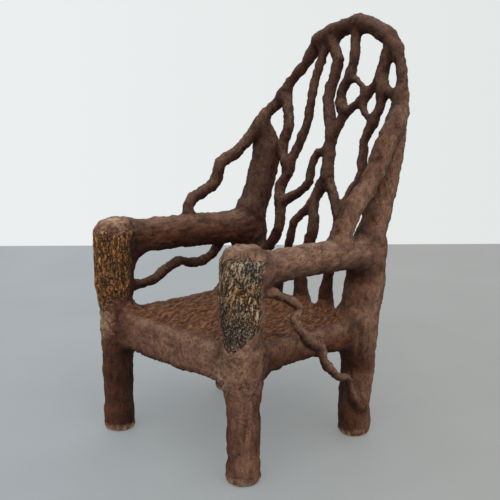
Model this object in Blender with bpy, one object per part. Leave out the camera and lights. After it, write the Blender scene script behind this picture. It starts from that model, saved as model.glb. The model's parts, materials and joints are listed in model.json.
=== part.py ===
"""Faux bois armchair: tinted cement limbs, shaped as branches, on a steel armature.

Metres, +Z up. The chair faces -Y, and left and right are as seen from the front. The
origin is on the floor, under the middle of the chair's outline.
"""

import math

import bmesh
import bpy
from mathutils import Matrix, Vector
from mathutils.geometry import interpolate_bezier

# Stance and main heights
LEG_SPREAD = 0.540              # across, between the axes of a pair of legs
LEG_SPACING = 0.471             # front leg axis to rear leg axis
SEAT_HEIGHT = 0.375             # top of the seat at the front leg axes
SEAT_FALL = 0.022               # fall of the seat from front to rear leg axes
LEG_BELOW_RIM = 0.006           # the legs end this far under the rim of the seat
ARM_POST_HEIGHT = 0.647         # top of the arm posts
LEFT_RAIL_BELOW_TOP = 0.057     # arm post top down to the axis of the left arm rail
RIGHT_RAIL_BELOW_TOP = 0.066
ARM_RAIL_FALL = 0.030           # fall of the arm rails towards the back
ARM_RAIL_BOW = 0.005            # rise of their middles above a straight line
CREST_HEIGHT = 1.215            # axis of the crest at its highest point
BACK_SETBACK = 0.066            # rear leg axis to the upright part of the back
LEAN_ABOVE_SEAT = 0.205         # the back is upright this far above the seat, then leans
BACK_LEAN = math.radians(22.8)
REAR_LEG_SWEEP = 0.027          # the rear legs' tops lie this far behind their feet
ANKLE_SHARE = 0.30              # share of a leg's height where its foot stops spreading
SWEEP_START = 0.50              # shares of a rear leg's height where it bends back
SWEEP_END = 0.78                # and stands upright again

# Seat
APRON_THICKNESS = 0.050
APRON_HEIGHT = 0.094
APRON_OUTSET = 0.020            # outer apron face beyond the leg axes
APRON_ROUNDING = 0.018
FRONT_APRON_SAG = 0.018
SIDE_APRON_RISE = 0.020
REAR_APRON_SAG = 0.008
SLAB_THICKNESS = 0.052
FACE_THICKNESS = 0.018
FACE_RECESS = 0.004             # the grain face lies this far below the rim
FACE_ROUNDING = 0.006

# Thick limbs
FRONT_LEG_DIAMETER = 0.087
REAR_LEG_DIAMETER = 0.097
FOOT_DIAMETER = 0.096
FOOT_TIP_DIAMETER = 0.080       # where the worn foot touches the floor
FOOT_ROUNDING = 0.016           # height over which the tip is worn round
ARM_POST_DIAMETER = 0.116
ARM_POST_BASE_DIAMETER = 0.093  # where it stands on the leg
ARM_POST_NECK_DIAMETER = 0.098
ARM_POST_NECK_ABOVE_SEAT = 0.012   # the arm posts are slim up to here
ARM_POST_SWELL_ABOVE_SEAT = 0.080  # and have their full thickness from here
ARM_POST_DOME = 0.030           # height of the rounded top
BARK_THICKNESS = 0.017
BARK_BOTTOM_ABOVE_SEAT = 0.005
BARK_BELOW_TOP = 0.035
BARK_HALF_ANGLE = math.radians(112)
LEFT_RAIL_DIAMETER = 0.102
RIGHT_RAIL_DIAMETER = 0.090
LEFT_POST_DIAMETER = 0.096
RIGHT_POST_DIAMETER = 0.084
BACK_POST_FOOT_DIAMETER = 0.104
BACK_POST_FLARE = 0.120         # back post diameter where it spreads into the seat
BACK_POST_INSET = 0.012         # the spread base lies this far inside the leg axis
RIGHT_POST_TOP_DIAMETER = 0.058
LEFT_POST_TOP_DIAMETER = 0.056
LEFT_POST_BELOW_BRACE = 0.010   # end of the left post's axis under that of the brace
CREST_DIAMETER = 0.055
CREST_SHOULDER_DIAMETER = 0.058  # where it turns down on the right
CREST_SLIM_DIAMETER = 0.035     # where it runs beside the right branch
CREST_KNOB_DIAMETER = 0.064

# Branches
LEFT_HOOP_DIAMETER = 0.036
LEFT_BRACE_DIAMETER = 0.040
RIGHT_BRACE_DIAMETER = 0.062
CENTRE_STEM_DIAMETER = 0.038
LEFT_STEM_DIAMETER = 0.036
LEFT_OUTER_DIAMETER = 0.036
LEFT_INNER_DIAMETER = 0.031
CENTRE_BRANCH_DIAMETER = 0.034
RIGHT_BRANCH_DIAMETER = 0.032
RIGHT_BRANCH_TOP_DIAMETER = 0.043
LOWER_FORK_DIAMETER = 0.036
TWIG_DIAMETER = 0.029
THIN_TWIG_DIAMETER = 0.021
LEFT_VINE_DIAMETER = 0.033
RIGHT_VINE_DIAMETER = 0.027
BRANCH_SWELL = 1.22             # branches grow by this factor where they join
ROOT_SWELL = 1.7                # and by this one where they root in the rim of the seat
BRACE_TAPER = 0.8               # the right brace thins by this factor into the back post
LEFT_POST_SHARE = 0.80          # share of the left brace's length where the post meets it
POST_KNEES = {"left": -87, "right": 98}  # where rail and post meet, as in back_point

# Steel armature
LEG_ROD_DIAMETER = 0.012
ARM_ROD_DIAMETER = 0.010
CREST_ROD_DIAMETER = 0.008
ROD_END_COVER = 0.030           # cement left around a rod's buried end
GRID_BAR_DIAMETER = 0.006
GRID_BARS_ACROSS = 3
GRID_BARS_DEEP = 4
GRID_EDGE = 0.050               # apron to the ends of the grid's bars

# Fits and facets
CLEARANCE = 0.0003
THICK_SIDES = 16
CREST_SIDES = 14
BRANCH_SIDES = 10
ROD_SIDES = 6
RING_STEP = 0.85                # distance between a branch's rings, in diameters
THICK_RING_STEP = 0.45
ROD_RING_STEP = math.inf        # rods run straight from station to station
CURVE_STEPS = 12                # smooth steps between two bends before the rings are set
ARC_STEPS = 10                  # steps along an arc of an outline
SHARP_ANGLE = math.radians(50)  # edges that bend more than this are shaded sharp

# Places that follow from the sizes above
HALF_SPREAD = LEG_SPREAD / 2
SEAT_TILT = math.atan(SEAT_FALL / LEG_SPACING)
RIM_FALL = SEAT_FALL * (1 + BACK_SETBACK / LEG_SPACING)
LEG_TOP = SEAT_HEIGHT - RIM_FALL - APRON_HEIGHT - REAR_APRON_SAG - LEG_BELOW_RIM
LEAN_START = SEAT_HEIGHT + LEAN_ABOVE_SEAT
LEAN_RUN = (CREST_HEIGHT - LEAN_START) * math.tan(BACK_LEAN)
TOTAL_DEPTH = (ARM_POST_DIAMETER / 2 + LEG_SPACING + BACK_SETBACK + LEAN_RUN
               + CREST_DIAMETER / 2)
FRONT_Y = ARM_POST_DIAMETER / 2 - TOTAL_DEPTH / 2
REAR_Y = FRONT_Y + LEG_SPACING
UPRIGHT_Y = REAR_Y + BACK_SETBACK
SEAT_REAR_HEIGHT = SEAT_HEIGHT - SEAT_FALL
RAIL_HEIGHTS = {"left": ARM_POST_HEIGHT - LEFT_RAIL_BELOW_TOP,
                "right": ARM_POST_HEIGHT - RIGHT_RAIL_BELOW_TOP}
SIDES = {"left": -1, "right": 1}

# Finishes: linear colour, roughness, metallic
CEMENT = ("tinted_cement", (0.072, 0.030, 0.019), 0.88, 0.0)
GRAIN = ("ochre_grain_cement", (0.150, 0.064, 0.026), 0.85, 0.0)
BARK = ("bark_cement", (0.120, 0.058, 0.024), 0.90, 0.0)
STEEL = ("mild_steel", (0.180, 0.170, 0.160), 0.55, 1.0)


def clear_scene():
    for old in list(bpy.data.objects):
        bpy.data.objects.remove(old)


def collection(name):
    made = bpy.data.collections.new(name)
    bpy.context.scene.collection.children.link(made)
    return made


def material(finish):
    name, colour, roughness, metallic = finish
    made = bpy.data.materials.get(name) or bpy.data.materials.new(name)
    made.use_nodes = True
    shader = made.node_tree.nodes["Principled BSDF"]
    shader.inputs["Base Color"].default_value = (*colour, 1.0)
    shader.inputs["Roughness"].default_value = roughness
    shader.inputs["Metallic"].default_value = metallic
    return made


def as_mesh(made, name):
    """Turn an object into a mesh in world space, and remove the object."""
    bpy.context.view_layer.update()
    depsgraph = bpy.context.evaluated_depsgraph_get()
    mesh = bpy.data.meshes.new_from_object(made.evaluated_get(depsgraph))
    mesh.transform(made.matrix_world)
    mesh.name = name
    bpy.data.objects.remove(made)
    return mesh


def welded(curve_object, name):
    """A closed mesh from a curve, whose caps are loose until they are welded."""
    mesh = as_mesh(curve_object, name)
    weld = bmesh.new()
    weld.from_mesh(mesh)
    bmesh.ops.remove_doubles(weld, verts=weld.verts, dist=CLEARANCE / 100)
    bmesh.ops.recalc_face_normals(weld, faces=weld.faces)
    weld.to_mesh(mesh)
    weld.free()
    return mesh


def loose_object(name, data):
    made = bpy.data.objects.new(name, data)
    cutters.objects.link(made)
    made.hide_render = True
    made.display_type = "WIRE"
    return made


def boolean(mesh, others, operation):
    """Combine a mesh with other meshes, and return the result as a new mesh."""
    base = loose_object(mesh.name, mesh)
    tools = [loose_object(other.name, other) for other in others]
    for tool in tools:
        cut = base.modifiers.new(tool.name, "BOOLEAN")
        cut.object = tool
        cut.operation = operation
        cut.solver = "MANIFOLD"  # the exact solver loses pieces between near-flush cutters
    result = as_mesh(base, mesh.name)
    for tool in tools:
        bpy.data.objects.remove(tool)
    return result


def signed_volume(faces):
    total = 0.0
    for face in faces:
        first = face.verts[0].co
        for left, right in zip(face.verts[1:], face.verts[2:]):
            total += first.dot(left.co.cross(right.co)) / 6
    return total


def keep_largest_body(mesh):
    """Drop the slivers that a cut leaves beyond a limb's seat."""
    body = bmesh.new()
    body.from_mesh(mesh)
    unseen = set(body.faces)
    islands = []
    while unseen:
        stack = [unseen.pop()]
        island = []
        while stack:
            face = stack.pop()
            island.append(face)
            near = {f for edge in face.edges for f in edge.link_faces} & unseen
            unseen -= near
            stack.extend(near)
        islands.append(island)
    islands.sort(key=signed_volume)
    for island in islands[:-1]:
        bmesh.ops.delete(body, geom=island, context="FACES")
    body.to_mesh(mesh)
    body.free()


def smooth_path(stations):
    """Run a smooth curve through (point, diameter) stations, in fine steps."""
    points = [station[0] for station in stations]
    diameters = [station[1] for station in stations]
    last = len(points) - 1
    tangents = [(points[min(i + 1, last)] - points[max(i - 1, 0)]).normalized()
                for i in range(last + 1)]
    fine = []
    for i in range(last):
        reach = (points[i + 1] - points[i]).length / 3
        span = interpolate_bezier(points[i], points[i] + tangents[i] * reach,
                                  points[i + 1] - tangents[i + 1] * reach, points[i + 1],
                                  CURVE_STEPS + 1)
        for step, point in enumerate(span[:-1] if i < last - 1 else span):
            share = step / CURVE_STEPS
            fine.append((point, diameters[i] * (1 - share) + diameters[i + 1] * share))
    return fine


def walked(path):
    """Distance along a path at each of its points."""
    total = [0.0]
    for before, after in zip(path, path[1:]):
        total.append(total[-1] + (after[0] - before[0]).length)
    return total


class Limb:
    """A tapering round bar along a smooth path: a cement limb or a steel rod."""

    def __init__(self, name, stations, finish=CEMENT, sides=BRANCH_SIDES, step=RING_STEP):
        self.name = name
        self.finish = finish
        self.sides = sides
        self.fine = smooth_path(stations)
        self.length = walked(self.fine)[-1]
        apart = step * max(diameter for point, diameter in stations)
        self.rings = []
        for i in range(len(stations) - 1):
            span = self.fine[i * CURVE_STEPS:(i + 1) * CURVE_STEPS + 1]
            count = min(CURVE_STEPS, max(1, round(walked(span)[-1] / apart)))
            self.rings += [span[round(k * CURVE_STEPS / count)] for k in range(count)]
        self.rings.append(self.fine[-1])

    def at(self, share):
        """Point and diameter at a share of the limb's length."""
        goal = share * self.length
        marks = walked(self.fine)
        for i in range(len(marks) - 1):
            if goal <= marks[i + 1] or i == len(marks) - 2:
                part = (goal - marks[i]) / (marks[i + 1] - marks[i])
                point = self.fine[i][0].lerp(self.fine[i + 1][0], part)
                return point, self.fine[i][1] * (1 - part) + self.fine[i + 1][1] * part

    def nearest(self, guess):
        """Point on the limb's axis nearest to a guess."""
        return min((point for point, diameter in self.fine),
                   key=lambda point: (point - guess).length)

    def solid(self, grow):
        curve = bpy.data.curves.new(self.name, "CURVE")
        curve.dimensions = "3D"
        curve.bevel_depth = 1.0
        curve.bevel_resolution = (self.sides - 4) // 2
        curve.use_fill_caps = True
        spline = curve.splines.new("POLY")
        spline.points.add(len(self.rings) - 1)
        points = [point for point, diameter in self.rings]
        points[0] = points[0] + (points[0] - points[1]).normalized() * grow
        points[-1] = points[-1] + (points[-1] - points[-2]).normalized() * grow
        for knot, point, ring in zip(spline.points, points, self.rings):
            knot.co = (*point, 1.0)
            knot.radius = ring[1] / 2 + grow
        return welded(loose_object(self.name, curve), self.name)


class Plate:
    """A flat outline with thickness and rounded edges, placed by a matrix."""

    def __init__(self, name, outline, thickness, rounding, place, finish=CEMENT):
        self.name = name
        self.outline = outline
        self.thickness = thickness
        self.rounding = rounding
        self.place = place
        self.finish = finish

    def solid(self, grow):
        curve = bpy.data.curves.new(self.name, "CURVE")
        curve.dimensions = "2D"
        curve.fill_mode = "BOTH"
        curve.bevel_depth = self.rounding
        curve.bevel_resolution = 1
        curve.offset = grow - self.rounding
        curve.extrude = self.thickness / 2 + grow - self.rounding
        spline = curve.splines.new("POLY")
        spline.points.add(len(self.outline) - 1)
        spline.use_cyclic_u = True
        for knot, (across, up) in zip(spline.points, self.outline):
            knot.co = (across, up, 0.0, 1.0)
        made = loose_object(self.name, curve)
        made.matrix_world = self.place
        return welded(made, self.name)


class BarkShell:
    """The bark coat on the front of an arm post, cut from the post's own surface."""

    def __init__(self, name, post, bottom, top):
        self.name = name
        self.post = post
        self.bottom = bottom
        self.top = top
        self.finish = BARK

    def zone(self, grow):
        inner = ARM_POST_DIAMETER / 2 - BARK_THICKNESS - grow
        outer = ARM_POST_DIAMETER
        half = BARK_HALF_ANGLE + grow / inner
        turns = [half * (2 * i / ARC_STEPS - 1) - math.pi / 2 for i in range(ARC_STEPS + 1)]
        outline = [(outer * math.cos(t), outer * math.sin(t)) for t in turns]
        outline += [(inner * math.cos(t), inner * math.sin(t)) for t in reversed(turns)]
        foot = self.post.rings[0][0]
        middle = Vector((foot.x, foot.y, (self.bottom + self.top) / 2))
        return Plate(self.name + "_zone", outline, self.top - self.bottom, 0.0,
                     Matrix.Translation(middle)).solid(grow)

    def solid(self, grow):
        return boolean(self.post.solid(grow), [self.zone(grow)], "INTERSECT")


class Grid:
    """Straight bars welded where they cross."""

    def __init__(self, name, bars, finish=STEEL):
        self.name = name
        self.bars = bars
        self.finish = finish

    def solid(self, grow):
        meshes = [bar.solid(grow) for bar in self.bars]
        return boolean(meshes[0], meshes[1:], "UNION")


def up(x, y, z, diameter):
    return Vector((x, y, z)), diameter


def back_y(z):
    """The sheet that the whole back follows: upright first, then leaning."""
    return UPRIGHT_Y + max(0.0, z - LEAN_START) * math.tan(BACK_LEAN)


def back_point(across, rise):
    """A place on the back, in per cent of its half width and of its rise from the seat."""
    z = SEAT_REAR_HEIGHT + (CREST_HEIGHT - SEAT_REAR_HEIGHT) * rise / 100
    return Vector((HALF_SPREAD * across / 100, back_y(z), z))


def side_point(side, along, rise, standoff=0.0):
    """A place beside the seat, in per cent of the arm's length and of the rail's height."""
    y = FRONT_Y + (UPRIGHT_Y - FRONT_Y) * along / 100
    return Vector((SIDES[side] * (HALF_SPREAD + standoff), y, RAIL_HEIGHTS[side] * rise / 100))


def branch(name, diameter, start, end, bends, end_swell=BRANCH_SWELL):
    """A branch whose ends sit on the axes of the limbs that carry it."""
    points = list(bends)
    points[0] = start.nearest(points[0])
    points[-1] = end.nearest(points[-1])
    stations = [(point, diameter) for point in points]
    stations[0] = (points[0], diameter * BRANCH_SWELL)
    stations[-1] = (points[-1], diameter * end_swell)
    return Limb(name, stations)


def back_branch(name, diameter, start, end, bends, end_swell=BRANCH_SWELL):
    points = [back_point(*bend) for bend in bends]
    return branch(name, diameter, start, end, points, end_swell)


def legs():
    ankle = LEG_TOP * ANKLE_SHARE
    made = {}
    for side, sign in SIDES.items():
        x = sign * HALF_SPREAD
        made["front_" + side] = Limb("front_" + side + "_leg", [
            up(x, FRONT_Y, 0.0, FOOT_TIP_DIAMETER),
            up(x, FRONT_Y, FOOT_ROUNDING, FOOT_DIAMETER),
            up(x, FRONT_Y, ankle, FRONT_LEG_DIAMETER),
            up(x, FRONT_Y, LEG_TOP, ARM_POST_BASE_DIAMETER)],
            sides=THICK_SIDES, step=THICK_RING_STEP)
        top_x = x - sign * BACK_POST_INSET
        top_y = REAR_Y + REAR_LEG_SWEEP
        made["rear_" + side] = Limb("rear_" + side + "_leg", [
            up(x, REAR_Y, 0.0, FOOT_TIP_DIAMETER),
            up(x, REAR_Y, FOOT_ROUNDING, FOOT_DIAMETER),
            up(x, REAR_Y, ankle, REAR_LEG_DIAMETER),
            up(x, REAR_Y, LEG_TOP * SWEEP_START, REAR_LEG_DIAMETER),
            up(top_x, top_y, LEG_TOP * SWEEP_END, REAR_LEG_DIAMETER),
            up(top_x, top_y, LEG_TOP, BACK_POST_FOOT_DIAMETER)],
            sides=THICK_SIDES, step=THICK_RING_STEP)
    return made


def arm_posts():
    made = {}
    for side, sign in SIDES.items():
        x = sign * HALF_SPREAD
        shoulder = ARM_POST_HEIGHT - ARM_POST_DOME
        made[side] = Limb(side + "_arm_post", [
            up(x, FRONT_Y, LEG_TOP + CLEARANCE, ARM_POST_BASE_DIAMETER),
            up(x, FRONT_Y, SEAT_HEIGHT + ARM_POST_NECK_ABOVE_SEAT, ARM_POST_NECK_DIAMETER),
            up(x, FRONT_Y, SEAT_HEIGHT + ARM_POST_SWELL_ABOVE_SEAT, ARM_POST_DIAMETER),
            up(x, FRONT_Y, shoulder, ARM_POST_DIAMETER),
            up(x, FRONT_Y, ARM_POST_HEIGHT, ARM_POST_DIAMETER - ARM_POST_DOME)],
            sides=THICK_SIDES, step=THICK_RING_STEP)
    return made


def back_posts(left_brace):
    """Posts that spread into the seat; the left one ends under the brace, the right in the hoop."""
    foot = LEG_TOP + CLEARANCE
    under_brace = left_brace.at(LEFT_POST_SHARE)[0]
    under_brace = under_brace - Vector((0.0, 0.0, LEFT_POST_BELOW_BRACE))
    uppers = {
        "left": [(back_point(-86, 12), (BACK_POST_FLARE + LEFT_POST_DIAMETER) / 2),
                 (back_point(POST_KNEES["left"], 26), LEFT_POST_DIAMETER),
                 (back_point(-88, 38), LEFT_POST_DIAMETER),
                 (back_point(-93, 53), LEFT_POST_DIAMETER),
                 (under_brace, LEFT_POST_TOP_DIAMETER)],
        "right": [(back_point(93, 12), BACK_POST_FLARE),
                  (back_point(POST_KNEES["right"], 26), RIGHT_POST_DIAMETER),
                  (back_point(97, 38), RIGHT_POST_DIAMETER),
                  (back_point(93, 55), RIGHT_POST_DIAMETER),
                  (back_point(89, 70), RIGHT_POST_TOP_DIAMETER)]}
    made = {}
    for side, sign in SIDES.items():
        x = sign * (HALF_SPREAD - BACK_POST_INSET)
        top_y = REAR_Y + REAR_LEG_SWEEP
        stations = [
            up(x, top_y, foot, BACK_POST_FOOT_DIAMETER),
            up(x, top_y, SEAT_REAR_HEIGHT, BACK_POST_FLARE), *uppers[side]]
        made[side] = Limb(side + "_back_post", stations, sides=THICK_SIDES, step=THICK_RING_STEP)
    return made


def crest(posts):
    post_top = posts["right"].at(1.0)
    stations = [post_top] + [
        (back_point(87.5, 74.5), (RIGHT_POST_TOP_DIAMETER + CREST_SLIM_DIAMETER) / 2),
        (back_point(83, 80), CREST_SLIM_DIAMETER),
        (back_point(74.5, 85), CREST_SLIM_DIAMETER),
        (back_point(62, 90.5), (CREST_SLIM_DIAMETER + CREST_SHOULDER_DIAMETER) / 2),
        (back_point(48, 94.5), CREST_SHOULDER_DIAMETER),
        (back_point(25, 97.5), CREST_DIAMETER),
        (back_point(0, 100), CREST_DIAMETER),
        (back_point(-20, 98), CREST_DIAMETER),
        (back_point(-40, 96), CREST_DIAMETER),
        (back_point(-57, 92), CREST_KNOB_DIAMETER)]
    return Limb("crest_arch", stations, sides=CREST_SIDES)


def arm_rails():
    """Rails between the axes of the arm posts and the knees of the back posts."""
    diameters = {"left": LEFT_RAIL_DIAMETER, "right": RIGHT_RAIL_DIAMETER}
    made = {}
    for side, sign in SIDES.items():
        front = Vector((sign * HALF_SPREAD, FRONT_Y, RAIL_HEIGHTS[side]))
        knee = HALF_SPREAD * POST_KNEES[side] / 100
        back = Vector((knee, UPRIGHT_Y, front.z - ARM_RAIL_FALL))
        middle = front.lerp(back, 0.5) + Vector((0.0, 0.0, ARM_RAIL_BOW))
        wide = diameters[side]
        made[side] = Limb(side + "_arm_rail", [(front, wide), (middle, wide), (back, wide)],
                          sides=THICK_SIDES)
    return made


def seat_place():
    """Frame of the tilted seat: x across, y from the front leg axes back, z up from the top."""
    return (Matrix.Translation((0.0, FRONT_Y, SEAT_HEIGHT))
            @ Matrix.Rotation(-SEAT_TILT, 4, "X"))


def apron_outline(half_length, sag):
    """Straight top edge and an arched lower edge, as seen from outside."""
    lower = []
    for i in range(ARC_STEPS + 1):
        share = 2 * i / ARC_STEPS - 1
        lower.append((share * half_length, -APRON_HEIGHT - sag * (1 - share * share)))
    return lower + [(half_length, 0.0), (-half_length, 0.0)]


def seat_parts():
    upright = Matrix.Rotation(math.pi / 2, 4, "X")
    quarter = Matrix.Rotation(math.pi / 2, 4, "Z")
    half_apron = APRON_THICKNESS / 2
    front = -APRON_OUTSET + half_apron
    rear = LEG_SPACING + BACK_SETBACK - half_apron / 2
    beside = HALF_SPREAD + APRON_OUTSET - half_apron
    frame = seat_place()
    rows = [("front_apron", Matrix.Translation((0.0, front, 0.0)), HALF_SPREAD,
             FRONT_APRON_SAG),
            ("rear_apron", Matrix.Translation((0.0, rear, 0.0)), HALF_SPREAD,
             REAR_APRON_SAG)]
    half_side = (LEG_SPACING + REAR_LEG_SWEEP) / 2
    for side, sign in SIDES.items():
        shift = Matrix.Translation((sign * beside, half_side, 0.0))
        rows.append((side + "_apron", shift @ quarter, half_side, -SIDE_APRON_RISE))
    aprons = [Plate(name, apron_outline(half, sag), APRON_THICKNESS, APRON_ROUNDING,
                    frame @ place @ upright) for name, place, half, sag in rows]

    # Slab and face start as far as the middles of the aprons, which then cut them to fit,
    # and the face as far as the middle of the slab.
    outline = [(-beside, front), (beside, front), (beside, rear), (-beside, rear)]
    seam = -FACE_RECESS - FACE_THICKNESS
    slab_middle = seam - SLAB_THICKNESS / 2
    face = Plate("seat_face", outline, -FACE_RECESS - slab_middle, FACE_ROUNDING,
                 frame @ Matrix.Translation((0.0, 0.0, (slab_middle - FACE_RECESS) / 2)), GRAIN)
    slab = Plate("seat_slab", outline, SLAB_THICKNESS, FACE_ROUNDING,
                 frame @ Matrix.Translation((0.0, 0.0, slab_middle)))
    inside = beside - half_apron
    near = front + half_apron
    far = rear - half_apron

    def bar(start, end):
        ends = [(frame @ Vector((*place, seam)), GRID_BAR_DIAMETER) for place in (start, end)]
        return Limb("grid_bar", ends, STEEL, ROD_SIDES, ROD_RING_STEP)

    bars = []
    for i in range(GRID_BARS_ACROSS):
        y = near + (far - near) * (i + 1) / (GRID_BARS_ACROSS + 1)
        bars.append(bar((GRID_EDGE - inside, y), (inside - GRID_EDGE, y)))
    for i in range(GRID_BARS_DEEP):
        x = -inside + 2 * inside * (i + 1) / (GRID_BARS_DEEP + 1)
        bars.append(bar((x, near + GRID_EDGE), (x, far - GRID_EDGE)))
    return aprons, slab, face, Grid("seat_grid", bars)


def armature(rails, posts, arch):
    """Steel rods inside the cement, in the order in which they are welded."""
    rods = []
    for side, sign in SIDES.items():
        x = sign * HALF_SPREAD
        rail = rails[side]
        front_top = rail.at(0.0)[0].z - rail.rings[0][1] / 2
        rear_top = rail.at(1.0)[0].z - rail.rings[-1][1] / 2
        rods.append(Limb("front_" + side + "_leg_rod", [
            up(x, FRONT_Y, ROD_END_COVER, LEG_ROD_DIAMETER),
            up(x, FRONT_Y, front_top, LEG_ROD_DIAMETER)],
            STEEL, BRANCH_SIDES, ROD_RING_STEP))
        rear_seat = posts[side].nearest(Vector((x, UPRIGHT_Y, rear_top)))
        rods.append(Limb("rear_" + side + "_leg_rod", [
            up(x, REAR_Y, ROD_END_COVER, LEG_ROD_DIAMETER),
            (rear_seat, LEG_ROD_DIAMETER)],
            STEEL, BRANCH_SIDES, ROD_RING_STEP))
        rods.append(Limb(side + "_arm_rod", [
            (rail.at(0.0)[0], ARM_ROD_DIAMETER),
            (rail.at(1.0)[0], ARM_ROD_DIAMETER)],
            STEEL, BRANCH_SIDES, ROD_RING_STEP))
    post = posts["right"]
    buried = [post.at(1.0 - 2 * ROD_END_COVER / post.length)[0]]
    last = 1.0 - ROD_END_COVER / arch.length
    buried += [arch.at(last * i / ARC_STEPS)[0] for i in range(ARC_STEPS + 1)]
    rods.append(Limb("crest_rod", [(point, CREST_ROD_DIAMETER) for point in buried],
                     STEEL, ROD_SIDES, ROD_RING_STEP))
    return rods


def lattice(posts, arch, brace, rear_rail):
    """The branches of the back, each listed after the limbs that carry it."""
    hoop = back_branch("left_hoop_limb", LEFT_HOOP_DIAMETER, arch, brace,
                       [(-57, 92), (-68, 84), (-83, 78), (-89, 73)])
    stem = Limb("centre_stem", [
        (arch.nearest(back_point(-40, 96)), CENTRE_STEM_DIAMETER * BRANCH_SWELL),
        (back_point(-28, 90), CENTRE_STEM_DIAMETER),
        (back_point(-17, 86), CENTRE_STEM_DIAMETER),
        (back_point(-18, 76), CENTRE_STEM_DIAMETER),
        (back_point(-13, 69), CENTRE_STEM_DIAMETER),
        (back_point(-1, 62), CENTRE_STEM_DIAMETER),
        (back_point(9, 52), CENTRE_STEM_DIAMETER),
        (back_point(14, 44), CENTRE_STEM_DIAMETER * BRANCH_SWELL)])
    left = Limb("left_stem", [
        (back_point(-49, 47), LEFT_STEM_DIAMETER * BRANCH_SWELL),
        (back_point(-47, 44), LEFT_STEM_DIAMETER),
        (back_point(-54, 40), LEFT_STEM_DIAMETER),
        (back_point(-51, 36), LEFT_STEM_DIAMETER),
        (back_point(-41, 30), LEFT_STEM_DIAMETER),
        (back_point(-40, 25), LEFT_STEM_DIAMETER),
        (back_point(-53, 18), LEFT_STEM_DIAMETER),
        (posts["left"].nearest(back_point(-100, 8)), LEFT_STEM_DIAMETER * BRANCH_SWELL)])
    outer = back_branch("left_outer_branch", LEFT_OUTER_DIAMETER, brace, left,
                        [(-89, 73), (-73, 66), (-66, 60), (-68, 55), (-63, 50), (-49, 47)])
    inner = back_branch("left_inner_branch", LEFT_INNER_DIAMETER, arch, left,
                        [(-47, 94), (-43, 88), (-45, 80), (-41, 68), (-40, 60), (-45, 52),
                         (-49, 47)])
    middle = back_branch("centre_branch", CENTRE_BRANCH_DIAMETER, arch, stem,
                         [(-5, 100), (2, 92), (6, 86), (5, 80), (1, 75), (3, 71), (12, 67),
                          (9, 63), (3, 59)])
    right_fork = back_branch("lower_right_fork", LOWER_FORK_DIAMETER, stem, rear_rail,
                             [(14, 44), (25, 41), (36, 37), (47, 32), (48, 26), (46, 20),
                              (39, 12), (31, -5)], ROOT_SWELL)
    left_fork = back_branch("lower_left_fork", LOWER_FORK_DIAMETER, stem, rear_rail,
                            [(14, 44), (8, 41), (4, 36), (11, 31), (14, 26), (7, 20),
                             (-4, 13), (-3, -5)], ROOT_SWELL)
    right = Limb("right_branch", [
        (arch.nearest(back_point(56, 92)), RIGHT_BRANCH_TOP_DIAMETER),
        (back_point(52, 86), RIGHT_BRANCH_TOP_DIAMETER),
        (back_point(53, 80.5), RIGHT_BRANCH_TOP_DIAMETER),
        (back_point(59, 75.5), RIGHT_BRANCH_TOP_DIAMETER),
        (back_point(62, 70), RIGHT_BRANCH_DIAMETER),
        (back_point(59, 65), RIGHT_BRANCH_DIAMETER),
        (back_point(53, 59), RIGHT_BRANCH_DIAMETER),
        (back_point(56, 54), RIGHT_BRANCH_DIAMETER),
        (back_point(61, 49), RIGHT_BRANCH_DIAMETER),
        (back_point(60, 45), RIGHT_BRANCH_DIAMETER),
        (right_fork.nearest(back_point(46, 33)), RIGHT_BRANCH_DIAMETER * BRANCH_SWELL)])
    cross = back_branch("upper_cross_twig", TWIG_DIAMETER, middle, right,
                        [(8, 68), (19, 68.5), (28, 71), (38, 74), (46, 77.5), (54, 80)])
    upper_twig = back_branch("upper_right_twig", THIN_TWIG_DIAMETER, middle, cross,
                             [(5, 80), (19, 79), (30, 76.5), (37, 73.5)])
    lower_twig = back_branch("lower_right_twig", THIN_TWIG_DIAMETER, cross, right,
                             [(37, 73.5), (39, 69.5), (49, 66.8), (59, 65)])
    hoop_twig = back_branch("right_hoop_twig", TWIG_DIAMETER, right, arch,
                            [(59, 76), (67, 76), (75, 75), (87, 73.5)])
    left_twig = back_branch("lower_left_twig", TWIG_DIAMETER, left_fork, rear_rail,
                            [(4, 35), (-8, 32), (-17, 28), (-20, 22), (-33, 10), (-42, -5)],
                            ROOT_SWELL)
    lower_cross = back_branch("lower_cross_twig", TWIG_DIAMETER, stem, left,
                              [(8, 53), (-10, 53), (-13, 48), (-11, 43), (-20, 39), (-42, 34)])
    return [hoop, stem, left, outer, inner, middle, right_fork, left_fork, right, cross,
            upper_twig, lower_twig, hoop_twig, left_twig, lower_cross]


def side_run(side, bends, standoff=0.0):
    """Bends beside the seat as points, each moved out by its share of a standoff."""
    points = []
    for along, rise, *share in bends:
        out = standoff * share[0] if share else 0.0
        points.append(side_point(side, along, rise, out))
    return points


def left_brace_limb(rails):
    """The long bent branch from the left arm rail up to the elbow of the hoop."""
    bends = side_run("left", [(53, 99), (55, 111), (66, 117), (77, 121), (82, 131), (97, 137),
                              (107, 144), (117, 153)])
    bends[0] = rails["left"].nearest(bends[0])
    bends += [back_point(-97, 69), back_point(-89, 73)]
    return Limb("left_brace", [(bend, LEFT_BRACE_DIAMETER) for bend in bends])


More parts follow.
